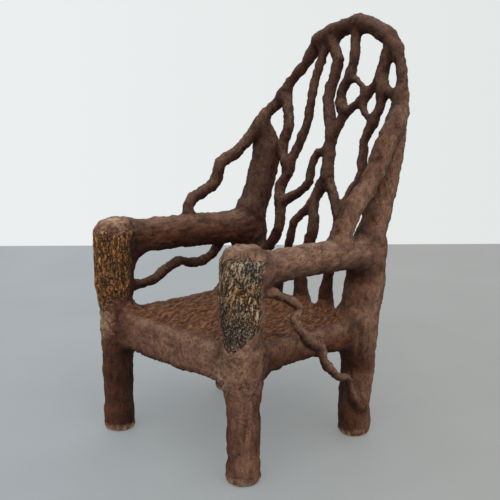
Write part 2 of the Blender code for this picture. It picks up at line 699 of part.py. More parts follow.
def side_branches(leg_set, front_posts, posts, rails):
    beside_apron = APRON_OUTSET + RIGHT_VINE_DIAMETER * BRANCH_SWELL / 2 + CLEARANCE
    return [
        branch("right_brace", RIGHT_BRACE_DIAMETER, rails["right"], posts["right"],
               side_run("right", [(72, 96), (75, 108), (83, 120), (95, 128), (103, 138),
                                  (110, 149), (119, 159), (133, 167)]), BRACE_TAPER),
        branch("left_vine", LEFT_VINE_DIAMETER, front_posts["left"], rails["left"],
               side_run("left", [(0, 76), (20, 74), (29, 75), (42, 81), (48, 82), (57, 79),
                                 (70, 80), (78, 85), (80, 97)])),
        branch("right_vine", RIGHT_VINE_DIAMETER, front_posts["right"], leg_set["rear_right"],
               side_run("right", [(0, 91), (15, 89, 0.4), (28, 83, 1.0), (34, 79, 1.0),
                                  (30, 74, 1.0), (36, 66, 1.0), (45, 59, 1.0), (51, 56, 1.0),
                                  (53, 49, 1.0), (59, 42, 1.0), (66, 37, 1.0), (73, 35, 1.0),
                                  (75, 28, 1.0), (79, 22, 1.05), (84, 17, 1.1), (90, 12)],
                        beside_apron))]


def build_pieces():
    """All pieces in order: each is cut back from the ones before it, with a clearance."""
    leg_set = legs()
    front_posts = arm_posts()
    rails = arm_rails()
    brace = left_brace_limb(rails)
    posts = back_posts(brace)
    arch = crest(posts)
    aprons, slab, face, grid = seat_parts()
    rear_rail_height = SEAT_REAR_HEIGHT - APRON_HEIGHT / 2
    rear_rail = Limb("rear_apron_axis", [
        (Vector((sign * HALF_SPREAD, UPRIGHT_Y, rear_rail_height)), APRON_THICKNESS)
        for sign in SIDES.values()])
    shells = [BarkShell(side + "_bark_shell", post, SEAT_HEIGHT + BARK_BOTTOM_ABOVE_SEAT,
                        ARM_POST_HEIGHT - BARK_BELOW_TOP)
              for side, post in front_posts.items()]
    branches = lattice(posts, arch, brace, rear_rail)
    return [grid, *armature(rails, posts, arch), *leg_set.values(), *shells,
            *front_posts.values(), *posts.values(), *aprons, slab, face, *rails.values(),
            arch, brace, *branches, *side_branches(leg_set, front_posts, posts, rails)]


def corners(mesh):
    places = [vertex.co for vertex in mesh.vertices]
    low = Vector([min(place[i] for place in places) for i in range(3)])
    high = Vector([max(place[i] for place in places) for i in range(3)])
    return low, high


def boxes_meet(first, second):
    return all(first[0][i] <= second[1][i] and second[0][i] <= first[1][i] for i in range(3))


def assemble(pieces):
    """Cut each piece back from the earlier ones, and hang it on the chair's empty."""
    chair = bpy.data.objects.new("armchair", None)
    parts.objects.link(chair)
    done = []
    for piece in pieces:
        mesh = piece.solid(0.0)
        box = corners(mesh)
        near = [cutter for cutter, cutter_box in done if boxes_meet(box, cutter_box)]
        if near:
            mesh = boolean(mesh, [cutter.copy() for cutter in near], "DIFFERENCE")
            keep_largest_body(mesh)
        grown = piece.solid(CLEARANCE)
        done.append((grown, corners(grown)))
        low, high = corners(mesh)
        middle = (low + high) / 2
        mesh.transform(Matrix.Translation(-middle))
        mesh.materials.clear()
        mesh.materials.append(material(piece.finish))
        mesh.shade_smooth()
        mesh.set_sharp_from_angle(angle=SHARP_ANGLE)
        part = bpy.data.objects.new(piece.name, mesh)
        part.location = middle
        part.parent = chair
        parts.objects.link(part)


clear_scene()
parts = collection("faux_bois_armchair")
cutters = collection("cutters")
assemble(build_pieces())
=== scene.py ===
"""Faux bois armchair: the hand-modelled cement skin, bark and combed seat over the CAD solids.

Each piece is drawn from its CAD node. The distances to all the solids are blended where limbs
meet, as wet cement is smoothed into a corner, and cut apart again piece by piece. Geometry
Nodes then raise the trowelled lumps, the bark's furrows and the seat's combed grain.
"""

import json
import math

import bpy
import numpy as np
import openvdb
from bpy.props import FloatProperty, FloatVectorProperty, PointerProperty
from mathutils import Matrix, Vector

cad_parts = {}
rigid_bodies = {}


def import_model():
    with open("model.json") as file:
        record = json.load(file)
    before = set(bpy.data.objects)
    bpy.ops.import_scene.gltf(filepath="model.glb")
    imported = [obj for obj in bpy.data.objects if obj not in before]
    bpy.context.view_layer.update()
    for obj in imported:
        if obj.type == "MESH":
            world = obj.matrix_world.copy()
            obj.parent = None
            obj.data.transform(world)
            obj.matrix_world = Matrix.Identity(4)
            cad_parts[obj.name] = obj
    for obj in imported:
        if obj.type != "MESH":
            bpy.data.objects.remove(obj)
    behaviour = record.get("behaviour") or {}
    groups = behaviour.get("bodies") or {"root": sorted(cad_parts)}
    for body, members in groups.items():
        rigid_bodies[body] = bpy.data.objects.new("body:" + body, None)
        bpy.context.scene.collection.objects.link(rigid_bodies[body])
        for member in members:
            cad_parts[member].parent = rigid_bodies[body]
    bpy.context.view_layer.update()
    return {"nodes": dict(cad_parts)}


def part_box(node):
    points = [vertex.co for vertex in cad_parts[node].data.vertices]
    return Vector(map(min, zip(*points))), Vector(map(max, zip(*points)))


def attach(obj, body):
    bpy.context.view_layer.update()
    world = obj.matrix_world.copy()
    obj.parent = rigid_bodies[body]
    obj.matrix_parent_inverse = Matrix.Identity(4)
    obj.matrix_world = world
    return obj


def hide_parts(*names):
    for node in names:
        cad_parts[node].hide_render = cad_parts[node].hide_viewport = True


bl_info = {
    "name": "Faux bois armchair",
    "version": (1, 0, 0),
    "blender": (4, 5, 0),
    "location": "View3D > Sidebar > Armchair",
    "description": "Dresses the solids of a cement armchair with skin, bark and grain",
    "category": "Object",
}

for old in list(bpy.data.objects):
    bpy.data.objects.remove(old)
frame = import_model()

SIDES = ("left", "right")
LEGS = [f"{end}_{side}_leg" for end in ("front", "rear") for side in SIDES]
ARM_POSTS = [f"{side}_arm_post" for side in SIDES]
BARK = [f"{side}_bark_shell" for side in SIDES]
ARM_RAILS = [f"{side}_arm_rail" for side in SIDES]
SEAT_RIM = ["front_apron", "rear_apron", "left_apron", "right_apron", "seat_slab"]
SEAT_FACE = "seat_face"
BACK_FRAME = ["left_back_post", "right_back_post", "crest_arch", "left_hoop_limb",
              "left_brace", "right_brace"]
LATTICE = ["centre_stem", "left_stem", "left_outer_branch", "left_inner_branch",
           "centre_branch", "right_branch", "lower_left_fork", "lower_right_fork",
           "lower_left_twig", "upper_cross_twig", "upper_right_twig", "lower_right_twig",
           "right_hoop_twig", "lower_cross_twig"]
VINES = ["left_vine", "right_vine"]
CEMENT = [*LEGS, *ARM_POSTS, *BARK, *ARM_RAILS, *SEAT_RIM, SEAT_FACE, *BACK_FRAME, *LATTICE,
          *VINES]
STEEL = sorted(set(frame["nodes"]) - set(CEMENT))

# Nodes that carry on one limb have no fillet between them.
RUNS = [["front_left_leg", "left_arm_post", "left_bark_shell"],
        ["front_right_leg", "right_arm_post", "right_bark_shell"],
        ["rear_left_leg", "left_back_post"],
        ["rear_right_leg", "right_back_post", "crest_arch"],
        [*SEAT_RIM, SEAT_FACE]]
RUNS += [[node] for node in CEMENT if not any(node in run for run in RUNS)]
THICK = {*LEGS, *SEAT_RIM, *ARM_RAILS, "left_back_post", "right_back_post"}
SEAT_MIDDLE = np.array((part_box(SEAT_FACE)[0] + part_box(SEAT_FACE)[1])[:2]) / 2
# Places and how worn they are: corners of the seat's rim, the right bark, the right back post
SCUFFS = ((-0.285, -0.430, 0.345, 0.9), (0.225, -0.410, 0.300, 0.7),
          (0.325, -0.400, 0.605, 0.6), (0.305, -0.432, 0.395, 0.5),
          (0.310, 0.125, 0.700, 0.5))
# Places and how dark the barks are stained there
STAINS = ((0.250, -0.441, 0.480, 0.9), (0.258, -0.443, 0.420, 1.2), (0.262, -0.445, 0.365, 1.2),
          (-0.213, -0.397, 0.505, 0.5), (-0.222, -0.420, 0.385, 0.6))
SHELTER = (0.90, 1.16)           # heights between which the weathering gets less
DARKENING = (0.24, 0.34)              # heights between which the darkening from below ends
TOPS_WORN = (1.1, 0.60)          # how worn the tops of the arm posts are
FAR = 1.0                        # stands for every distance that is out of reach
MIX_A, MIX_B, MIX_OUT = 6, 7, 2  # a Mix node's colour sockets, whose names repeat


def linear(code):
    """An sRGB hex colour as linear red, green, blue and alpha."""
    parts = [int(code[i:i + 2], 16) / 255 for i in (1, 3, 5)]
    return tuple(c / 12.92 if c <= 0.04045 else ((c + 0.055) / 1.055) ** 2.4
                 for c in parts) + (1.0,)


def colour_choice(name, code, description):
    """A setting that holds a colour, given as sRGB hex."""
    return FloatVectorProperty(name=name, default=linear(code), size=4, subtype="COLOR", min=0.0,
                               max=1.0, description=description)


class CementSettings(bpy.types.PropertyGroup):
    """Colour, sizes, weathering and painted light and shade of the cement skin that covers every
    limb.
    """

    colour: colour_choice("Cement Colour", "#522d1b",
                          "Colour of the tinted mortar, before it weathers")
    pitch: FloatProperty(name="Skin Pitch", default=0.0028, unit="LENGTH",
                         description="Spacing of the skin's points")
    thick_fillet: FloatProperty(name="Thick Fillet", default=0.066, unit="LENGTH",
                                description="Width of the blend where thick limbs meet")
    thin_fillet: FloatProperty(name="Branch Fillet", default=0.024, unit="LENGTH",
                               description="Width of the blend where branches meet")
    overlap: FloatProperty(name="Overlap", default=0.005, unit="LENGTH",
                           description="How far two joined pieces run into each other")
    tuck: FloatProperty(name="Tuck", default=0.0016, unit="LENGTH",
                        description="How deep an overlapped end sinks under its neighbour")
    lump_size: FloatProperty(name="Lump Size", default=0.042, unit="LENGTH",
                             description="Width of the lumps that hands leave in the cement")
    lump_depth: FloatProperty(name="Lump Depth", default=0.0026, unit="LENGTH",
                              description="Height of the lumps on thick limbs")
    branch_lump_depth: FloatProperty(name="Branch Lump Depth", default=0.0026, unit="LENGTH",
                                     description="Height of the lumps on branches")
    dab_size: FloatProperty(name="Dab Size", default=0.012, unit="LENGTH",
                            description="Width of the trowel's dabs")
    dab_depth: FloatProperty(name="Dab Depth", default=0.0022, unit="LENGTH",
                             description="Height of the trowel's dabs")
    pit_size: FloatProperty(name="Pit Size", default=0.016, unit="LENGTH",
                            description="Spacing of the pits that air leaves in the cement")
    pit_depth: FloatProperty(name="Pit Depth", default=0.0022, unit="LENGTH",
                             description="Depth of the pits")
    # Painted shade and light: faces turned in towards the chair are painted darker, outward faces
    # paler
    facing_shade: FloatProperty(name="Weather Turn", default=0.50,
                                description="How much more the outward faces are weathered")
    weather_side: FloatProperty(name="Weather Side", default=0.48,
                                description="Change of weathering for each metre to the right")
    weather_top: FloatProperty(name="Weather Top", default=0.45,
                               description="How much less the crest is weathered")
    worn_reach: FloatProperty(name="Worn Reach", default=0.080, unit="LENGTH",
                              description="How far a rubbed place spreads")
    # Darker towards the bottom: how much the lowest part of the cement is darkened
    darkened: FloatProperty(name="Darkened", default=0.30,
                        description="How much less the damp lower part is weathered")
    # Painted shade on the seat's side aprons and core, under the arm rails
    rim_shade: FloatProperty(name="Rim Shade", default=0.95,
                             description="How much less the seat's sides and core are weathered")
    # Painted shade on the arm rails; below zero, the rails are painted paler, with less shade
    rail_shade: FloatProperty(name="Rail Shade", default=-0.50,
                              description="How much less the arm rails are weathered")
    # Painted shade on the lattice: branches shaded against the light
    lattice_shade: FloatProperty(name="Lattice Shade", default=0.80,
                                 description="How much less the lattice is weathered")


class BarkSettings(bpy.types.PropertyGroup):
    """Colours and sizes of the bark modelled on the two arm posts."""

    left_colour: colour_choice("Left Bark Colour", "#794c27", "Main colour of the left bark")
    right_colour: colour_choice("Right Bark Colour", "#70553a", "Main colour of the right bark")
    pitch: FloatProperty(name="Bark Pitch", default=0.0015, unit="LENGTH",
                         description="Spacing of the bark's points")
    left_flake: FloatVectorProperty(name="Left Flake", size=2, default=(0.0046, 0.017),
                                    description="Width and length of the left bark's flakes",
                                    unit="LENGTH")
    right_flake: FloatVectorProperty(name="Right Flake", size=2, default=(0.0052, 0.024),
                                     description="Width and length of the right bark's flakes",
                                     unit="LENGTH")
    left_lean: FloatProperty(name="Left Lean", default=0.05,
                             description="Sideways run of the left furrows for their rise")
    right_lean: FloatProperty(name="Right Lean", default=-0.35,
                              description="Sideways run of the right furrows for their rise")
    depth: FloatProperty(name="Furrow Depth", default=0.0034, unit="LENGTH",
                         description="Depth of the furrows between two flakes")
    rise: FloatProperty(name="Bark Rise", default=0.0030, unit="LENGTH",
                        description="How far the bark stands out from the post")
    lift: FloatProperty(name="Bark Lift", default=0.018, unit="LENGTH",
                        description="How far the bark climbs on to the rounded top")
    taper: FloatVectorProperty(name="Bark Taper", size=2, default=(0.045, 0.013), unit="LENGTH",
                               description="How far its lower corners and its sides draw in")
    tongue: FloatProperty(name="Bark Tongue", default=0.090, unit="LENGTH",
                          description="Height of the bark's narrowing lower end")
    ragged: FloatProperty(name="Ragged Edge", default=0.013, unit="LENGTH",
                          description="How far the bark's edge wanders")


class SeatSettings(bpy.types.PropertyGroup):
    """Colour and sizes of the grain combed into the seat."""

    colour: colour_choice("Seat Colour", "#693f23", "Main colour of the seat's ochre mortar")
    pitch: FloatProperty(name="Seat Pitch", default=0.0031, unit="LENGTH",
                         description="Spacing of the seat's points")
    stroke: FloatVectorProperty(name="Stroke", size=2, default=(0.0072, 0.036), unit="LENGTH",
                                description="Width and length of the comb's strokes")
    turn: FloatProperty(name="Stroke Turn", default=math.radians(-20), subtype="ANGLE",
                        description="Angle of the strokes from front to back")
    depth: FloatProperty(name="Stroke Depth", default=0.0032, unit="LENGTH",
                         description="Depth of the comb's strokes")
    spread: FloatProperty(name="Grain Spread", default=0.026, unit="LENGTH",
                          description="How far the grain runs out over the rim")


class StageSettings(bpy.types.PropertyGroup):
    """Camera, floor, wall and lights."""

    camera: FloatVectorProperty(name="Camera", default=(2.0589, -2.1538, 1.2127),
                                subtype="XYZ", unit="LENGTH",
                                description="Place of the camera")
    azimuth: FloatProperty(name="Azimuth", default=math.radians(44.89), subtype="ANGLE",
                           description="Turn of the camera from the chair's front")
    pitch: FloatProperty(name="Pitch", default=math.radians(12.768), subtype="ANGLE",
                         description="Angle at which the camera looks down")
    roll: FloatProperty(name="Roll", default=math.radians(-0.25), subtype="ANGLE",
                        description="Turn of the camera about its own line of sight")
    lens: FloatProperty(name="Lens", default=72.25, unit="CAMERA",
                        description="Focal length on a sensor 36 mm wide")
    wall: FloatProperty(name="Wall Distance", default=5.48, unit="LENGTH",
                        description="Level distance from the camera to the wall")
    sky: FloatProperty(name="Sky Light", default=0.66,
                       description="Strength of the even light from all round")
    key: FloatProperty(name="Key Light", default=1.45,
                       description="Strength of the wide light from above")
    key_spread: FloatProperty(name="Key Spread", default=math.radians(80), subtype="ANGLE",
                              description="Width of the key light as the chair sees it")
    key_side: FloatVectorProperty(name="Key Side", default=(0.60, -0.60, 1.0), subtype="XYZ",
                                  description="Direction from the chair to the key light")
    floor_colour: colour_choice("Floor Colour", "#7e8283",
                                "Colour of the floor on the picture's left")
    wall_colour: colour_choice("Wall Colour", "#ebefef",
                               "Colour of the wall on the picture's left")


def put(tree, kind, links=None, **settings):
    """Add a node; settings are its properties, links its sockets' sources or values."""
    node = tree.nodes.new(kind)
    for key, value in settings.items():
        setattr(node, key, value)
    for key, value in (links or {}).items():
        socket = node.inputs[key]
        if isinstance(value, bpy.types.NodeSocket):
            tree.links.new(value, socket)
        else:
            socket.default_value = value
    return node


MADE = {}


def once(builder, *given):
    """The form, tree or material that a builder makes, made once and shared."""
    key = (builder.__name__, *given)
    if key not in MADE:
        MADE[key] = builder(*given)
    return MADE[key]


# The blended form

SMOOTHING = 3                    # passes that round the solids' facets
FOOT_EASE = 0.008                # the skin's lumps fade out this far above the floor
SEAM_EASE = 0.014                # bark and grain fade in over this far from their edges
TONE_EASE = 0.026                # a group's own painted shade fades in over this far from its seams
GAP_SHARE = 0.8                  # how much of the fillet two limbs with a gap between go without
REACH_STEPS = 2                  # grid steps by which the distances outreach the widest fillet
PAD_STEPS = 4                    # grid steps of room around a piece and its fillets
SKIN_STEPS = 1.6                 # grid steps under the form at which a point no longer moves
BARK_FRONT = 0.6                 # share of a post's radius, from its front, that stays all bark
RAGGED_WAVES = (0.0031, 0.0053, 0.0098)  # lengths of the waves in the bark's edge, over two pi
RAGGED_SLOWER = 0.7              # how fast the waves across rise, next to those front to back
RAGGED_SHIFT = 1                 # head start of the waves front to back, in radians


def smoothed(values):
    """Values on the grid, each averaged with its neighbours."""
    for _ in range(SMOOTHING):
        for axis in range(3):
            body = np.moveaxis(values, axis, 0)
            body[1:-1] = (body[:-2] + 2 * body[1:-1] + body[2:]) / 4
    return values


def sampled(values, place):
    """Values between the grid's points, at places given in grid steps."""
    base = np.clip(np.floor(place).astype(int), 0, np.array(values.shape) - 2)
    part = np.clip(place - base, 0, 1)
    total = np.zeros(len(place))
    for i, j, k in np.ndindex(2, 2, 2):
        weight = np.abs(1 - np.array((i, j, k)) - part).prod(axis=1)
        total += weight * values[base[:, 0] + i, base[:, 1] + j, base[:, 2] + k]
    return total


class Form:
    """Distances to the chair's solids on one grid, blended into fillets where limbs meet."""

    def __init__(self, pitch):
        cement = bpy.context.scene.cement
        self.pitch = pitch
        self.space = openvdb.createLinearTransform(voxelSize=pitch)
        self.grids = {}
        self.fillets = [cement.thick_fillet if THICK.intersection(run) else cement.thin_fillet
                        for run in RUNS]
        self.reach = cement.thick_fillet + REACH_STEPS * pitch

    def grid(self, node):
        """The node's own distances, as a narrow band around its surface."""
        if node not in self.grids:
            mesh = frame["nodes"][node].data
            mesh.calc_loop_triangles()
            points = np.empty(len(mesh.vertices) * 3, np.float32)
            mesh.vertices.foreach_get("co", points)
            corners = np.empty(len(mesh.loop_triangles) * 3, np.int32)
            mesh.loop_triangles.foreach_get("vertices", corners)
            self.grids[node] = openvdb.FloatGrid.createLevelSetFromPolygons(
                points.reshape(-1, 3), triangles=corners.reshape(-1, 3).astype(np.uint32),
                transform=self.space, halfWidth=self.reach / self.pitch)
        return self.grids[node]

    def distances(self, origin, shape):
        """Distances to each node within reach of a block of the grid."""
        start, end = origin * self.pitch, (origin + shape) * self.pitch
        found = {}
        for other in CEMENT:
            low, high = (np.array(corner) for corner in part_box(other))
            if np.all(low - self.reach < end) and np.all(high + self.reach > start):
                found[other] = np.empty(shape, np.float32)
                self.grid(other).copyToArray(found[other], ijk=tuple(map(int, origin)))
        return found

    def blended(self, found, shape):
        """The filleted form, the fill of its corners, and the width of the fillet there."""
        first = np.full(shape, FAR, np.float32)
        second = first.copy()
        first_fillet = np.full(shape, self.pitch, np.float32)
        second_fillet = first_fillet.copy()
        for run, fillet in zip(RUNS, self.fillets):
            members = [found[node] for node in run if node in found]
            if not members:
                continue
            nearest = np.minimum.reduce(members)
            closest, closer = nearest < first, nearest < second
            second_fillet = np.where(closest, first_fillet,
                                     np.where(closer, fillet, second_fillet))
            second = np.where(closest, first, np.minimum(second, nearest))
            first_fillet = np.where(closest, fillet, first_fillet)
            first = np.minimum(first, nearest)
        width = np.minimum(first_fillet, second_fillet)
        fill = width * np.clip(1 - (second - first) / width, 0, None) ** 2 / 4
        fill *= 1 - self.agreement(first, second)
        return smoothed(first - fill), fill, width

    def agreement(self, first, second):
        """How far two surfaces run side by side, where no cement is smoothed into a corner."""
        dot = sum(np.gradient(first, self.pitch, axis=axis)
                  * np.gradient(second, self.pitch, axis=axis) for axis in range(3))
        return np.clip(np.where(dot > 0, dot, -dot * GAP_SHARE), 0, 1) ** 2

    def piece(self, node):
        """The node's share of the form, as points, quads and values at the points."""
        cement = bpy.context.scene.cement
        low, high = (np.array(corner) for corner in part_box(node))
        pad = cement.thick_fillet / 2 + PAD_STEPS * self.pitch
        origin = np.floor((low - pad) / self.pitch).astype(int)
        shape = tuple(np.ceil((high + pad) / self.pitch).astype(int) - origin + 1)
        found = self.distances(origin, shape)
        form, fill, width = self.blended(found, shape)
        for bark in set(BARK).intersection(found):
            found[bark] = (found[bark] + self.wander(origin, shape)
                           + self.drawn_in(bark, origin, shape))
        if SEAT_FACE in found:
            found[SEAT_FACE] = found[SEAT_FACE] - bpy.context.scene.seat.spread
        mine = found.pop(node)
        seam = (mine - np.minimum.reduce(list(found.values()))) / 2
        tucked = form + cement.tuck * np.clip(seam / cement.overlap, 0, 1)
        share = openvdb.FloatGrid(FAR)
        share.transform = self.space
        share.copyFromArray(np.maximum(tucked, seam - cement.overlap),
                            ijk=tuple(map(int, origin)))
        points, quads = share.convertToQuads(isovalue=0.0)
        place = points / self.pitch - origin
        depth = sampled(tucked, place) / self.pitch
        within = -sampled(seam, place)
        return points, quads, {
            "skin": (np.clip(SKIN_STEPS + depth, 0, 1)
                     * np.clip(points[:, 2] / FOOT_EASE, 0, 1)),
            # How far into a filleted corner a point lies, for painted shade there
            "crevice_shade": np.clip(sampled(fill, place) / (sampled(width, place) / 4), 0, 1),
            "inside": np.clip(within / SEAM_EASE, 0, 1),
            "own": np.clip(within / TONE_EASE, 0, 1)}

    def axes(self, origin, shape):
        """Coordinates along the three sides of a block of the grid."""
        return [(np.arange(count) + start) * self.pitch for count, start in zip(shape, origin)]

    def drawn_in(self, node, origin, shape):
        """How far the bark's edge draws in: to a tongue below, off the rail, and up on top."""
        bark = bpy.context.scene.bark
        x, y, z = self.axes(origin, shape)
        low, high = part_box(node)
        radius = (high.x - low.x) / 2
        lower = np.clip(1 - (z - low.z) / bark.tongue, 0, 1) ** 2
        beside = np.clip(np.abs(x - low.x - radius) / radius, 0, 1) ** 2
        behind = np.clip((y - low.y) / radius - BARK_FRONT, 0, 1)
        upper = np.clip((z - high.z) / bark.lift + 1, 0, 1)
        return (bark.taper[0] * beside[:, None, None] * lower[None, None, :]
                + bark.taper[1] * behind[None, :, None]
                - bark.lift * upper[None, None, :]).astype(np.float32)

    def wander(self, origin, shape):
        """Small shifts of the bark's edge, from waves along crossed directions."""
        x, y, z = self.axes(origin, shape)
        total = np.zeros(shape, np.float32)
        for wave in RAGGED_WAVES:
            across = np.cos(z / wave * RAGGED_SLOWER)[None, None, :]
            back = np.sin(y / wave + RAGGED_SHIFT)[None, :, None]
            total += (np.sin(x / wave)[:, None, None] * across
                      + back * np.cos(z / wave)[None, None, :])
        return total * bpy.context.scene.bark.ragged / (2 * len(RAGGED_WAVES))


def form_piece(name, node, pitch, shade=0.0):
    """A piece of the form as a new object, with its values as attributes."""
    form = once(Form, pitch * (1))
    points, quads, values = form.piece(node)
    mesh = bpy.data.meshes.new(name)
    mesh.from_pydata(points, [], quads)
    values["worn"] = rubbed(points)
    values["stain"] = near(points, STAINS)
    # Weathering and painted light in one value: a group's shade setting paints its pieces darker
    values["weather_and_light"] = weathered_and_lit(mesh, points) - shade * values.pop("own")
    for key, numbers in values.items():
        layer = mesh.attributes.new(key, "FLOAT", "POINT")
        layer.data.foreach_set("value", np.asarray(numbers, np.float32))
    made = bpy.data.objects.new(name, mesh)
    bpy.context.scene.collection.objects.link(made)
    return made


# Geometry trees

NOISE_SPAN = (0.3, 0.7)          # values that a noise seldom leaves
NOISE_MIDDLE = 0.5
LUMP_DETAIL = 1.0
DAB_DETAIL = 3.0
BUMP_ROUGHNESS = 0.6             # strength of each finer layer of lumps, dabs and strokes
PIT_WALL = (0.16, 0.30)          # a pit's bottom and rim, in spacings from its middle
PIT_HOLLOW = (0.1, -0.6)         # heights of the lumps between which the pits get deeper
BARK_SWIRL = (0.020, 0.012)      # size of the furrows' turns and how far they shift
GRAIN_SWIRL = (0.090, 0.045)     # size of the strokes' turns and how far they shift
SWIRL_DETAIL = 2.0
# Sets of furrows: how many to a flake's width, how wide in the noise, what height is left there
FURROWS = ((0.22, 0.10, 0.30), (0.5, 0.20, 0.0), (0.95, 0.30, 0.35))
FURROW_DETAIL = 2.0
FURROW_ROUGHNESS = 0.55
FLAKE_DETAIL = 1.0
FLAKE_HEIGHTS = (0.45, 1.0)      # lowest and highest flake, as shares of the furrows' depth
BARK_LEVEL = 0.4                 # height, as such a share, that is neither raised nor sunk
BARK_EDGE = 0.5                  # share of the seam's ease over which the bark rises
COMB_SPAN = (0.36, 0.64)         # noise at the bottom of a stroke and on the ridge beside it
COMB_LEVEL = 0.5                 # height between them that is neither raised nor sunk
COMB_DETAIL = 2.0


def new_tree(name, inputs):
    """A geometry tree with a geometry input and output and the named inputs."""
    tree = bpy.data.node_groups.new(name, "GeometryNodeTree")
    tree.interface.new_socket("Geometry", in_out="INPUT", socket_type="NodeSocketGeometry")
    tree.interface.new_socket("Geometry", in_out="OUTPUT", socket_type="NodeSocketGeometry")
    for label, kind in inputs.items():
        tree.interface.new_socket(label, in_out="INPUT", socket_type="NodeSocket" + kind)
    return tree, put(tree, "NodeGroupInput").outputs


def raise_surface(tree, given, height, kept):
    """End a tree: move the skin by a height, keep values, set the material."""
    skin = put(tree, "GeometryNodeInputNamedAttribute", {"Name": "skin"})
    masked = put(tree, "ShaderNodeMath", {0: height, 1: skin.outputs["Attribute"]},
                 operation="MULTIPLY").outputs[0]
    normal = put(tree, "GeometryNodeInputNormal").outputs["Normal"]
    offset = put(tree, "ShaderNodeVectorMath", {"Vector": normal, "Scale": masked},
                 operation="SCALE")
    upward = put(tree, "ShaderNodeSeparateXYZ", {0: normal}).outputs["Z"]
    geometry = given["Geometry"]
    for label, value in {**kept, "upward": upward}.items():
        store = put(tree, "GeometryNodeStoreNamedAttribute",
                    {"Geometry": geometry, "Name": label, "Value": value})
        geometry = store.outputs["Geometry"]
    moved = put(tree, "GeometryNodeSetPosition", {"Geometry": geometry,
                                                  "Offset": offset.outputs["Vector"]})
    real = put(tree, "GeometryNodeRealizeInstances", {"Geometry": moved.outputs["Geometry"]})
    painted = put(tree, "GeometryNodeSetMaterial", {"Geometry": real.outputs["Geometry"],
                                                    "Material": given["Material"]})
    put(tree, "NodeGroupOutput", {"Geometry": painted.outputs["Geometry"]})


def swirled(tree, place, size, reach):
    """The place, shifted by a broad noise so that straight furrows or strokes wander."""
    swirl = put(tree, "ShaderNodeTexNoise", {"Vector": place, "Scale": 1 / size,
                                             "Detail": SWIRL_DETAIL})
    centred = put(tree, "ShaderNodeVectorMath", {0: swirl.outputs["Color"],
                                                 1: (NOISE_MIDDLE,) * 3}, operation="SUBTRACT")
    shift = put(tree, "ShaderNodeVectorMath", {0: centred.outputs["Vector"], "Scale": reach},
                operation="SCALE")
    return put(tree, "ShaderNodeVectorMath", {0: place, 1: shift.outputs["Vector"]},
               operation="ADD").outputs["Vector"]


def bumps(tree, place, size, detail):
    """Soft bumps about a size apart, from about -1 to 1."""
    scale = put(tree, "ShaderNodeMath", {0: 1.0, 1: size}, operation="DIVIDE")
    noise = put(tree, "ShaderNodeTexNoise", {"Vector": place, "Scale": scale.outputs[0],
                                             "Detail": detail, "Roughness": BUMP_ROUGHNESS})
    return put(tree, "ShaderNodeMapRange", {"Value": noise.outputs[0], "From Min": NOISE_SPAN[0],
                                            "From Max": NOISE_SPAN[1], "To Min": -1.0},
               clamp=False).outputs[0]


def skin_tree():
    """Hand-made lumps, trowelled dabs and pits."""
    tree, given = new_tree("cement_skin", {
        "Lump Size": "Float", "Lump Depth": "Float", "Dab Size": "Float", "Dab Depth": "Float",
        "Pit Size": "Float", "Pit Depth": "Float", "Stretch": "Vector",
        "Material": "Material"})
    place = put(tree, "GeometryNodeInputPosition").outputs["Position"]
    drawn = put(tree, "ShaderNodeVectorMath", {0: place, 1: given["Stretch"]},
                operation="MULTIPLY").outputs["Vector"]
    lump = bumps(tree, place, given["Lump Size"], LUMP_DETAIL)
    dab = bumps(tree, drawn, given["Dab Size"], DAB_DETAIL)
    broad, small = (put(tree, "ShaderNodeMath", {0: wave, 1: given[depth]},
                        operation="MULTIPLY").outputs[0]
                    for wave, depth in ((lump, "Lump Depth"), (dab, "Dab Depth")))
    total = put(tree, "ShaderNodeMath", {0: broad, 1: small}, operation="ADD").outputs[0]
    scale = put(tree, "ShaderNodeMath", {0: 1.0, 1: given["Pit Size"]}, operation="DIVIDE")
    cells = put(tree, "ShaderNodeTexVoronoi", {"Vector": place, "Scale": scale.outputs[0]})
    pit = put(tree, "ShaderNodeMapRange", {"Value": cells.outputs["Distance"],
                                           "From Min": PIT_WALL[0], "From Max": PIT_WALL[1],
                                           "To Min": 1.0, "To Max": 0.0})
    hollow = put(tree, "ShaderNodeMapRange", {"Value": lump, "From Min": PIT_HOLLOW[0],
                                              "From Max": PIT_HOLLOW[1]}).outputs[0]
    pitted = put(tree, "ShaderNodeMath", {0: pit.outputs[0], 1: hollow},
                 operation="MULTIPLY").outputs[0]
    sunk = put(tree, "ShaderNodeMath", {0: pitted, 1: given["Pit Depth"]},
               operation="MULTIPLY")
    height = put(tree, "ShaderNodeMath", {0: total, 1: sunk.outputs[0]},
                 operation="SUBTRACT").outputs[0]
    raise_surface(tree, given, height, {"relief": lump, "dab": dab, "pit": pitted})
    return tree


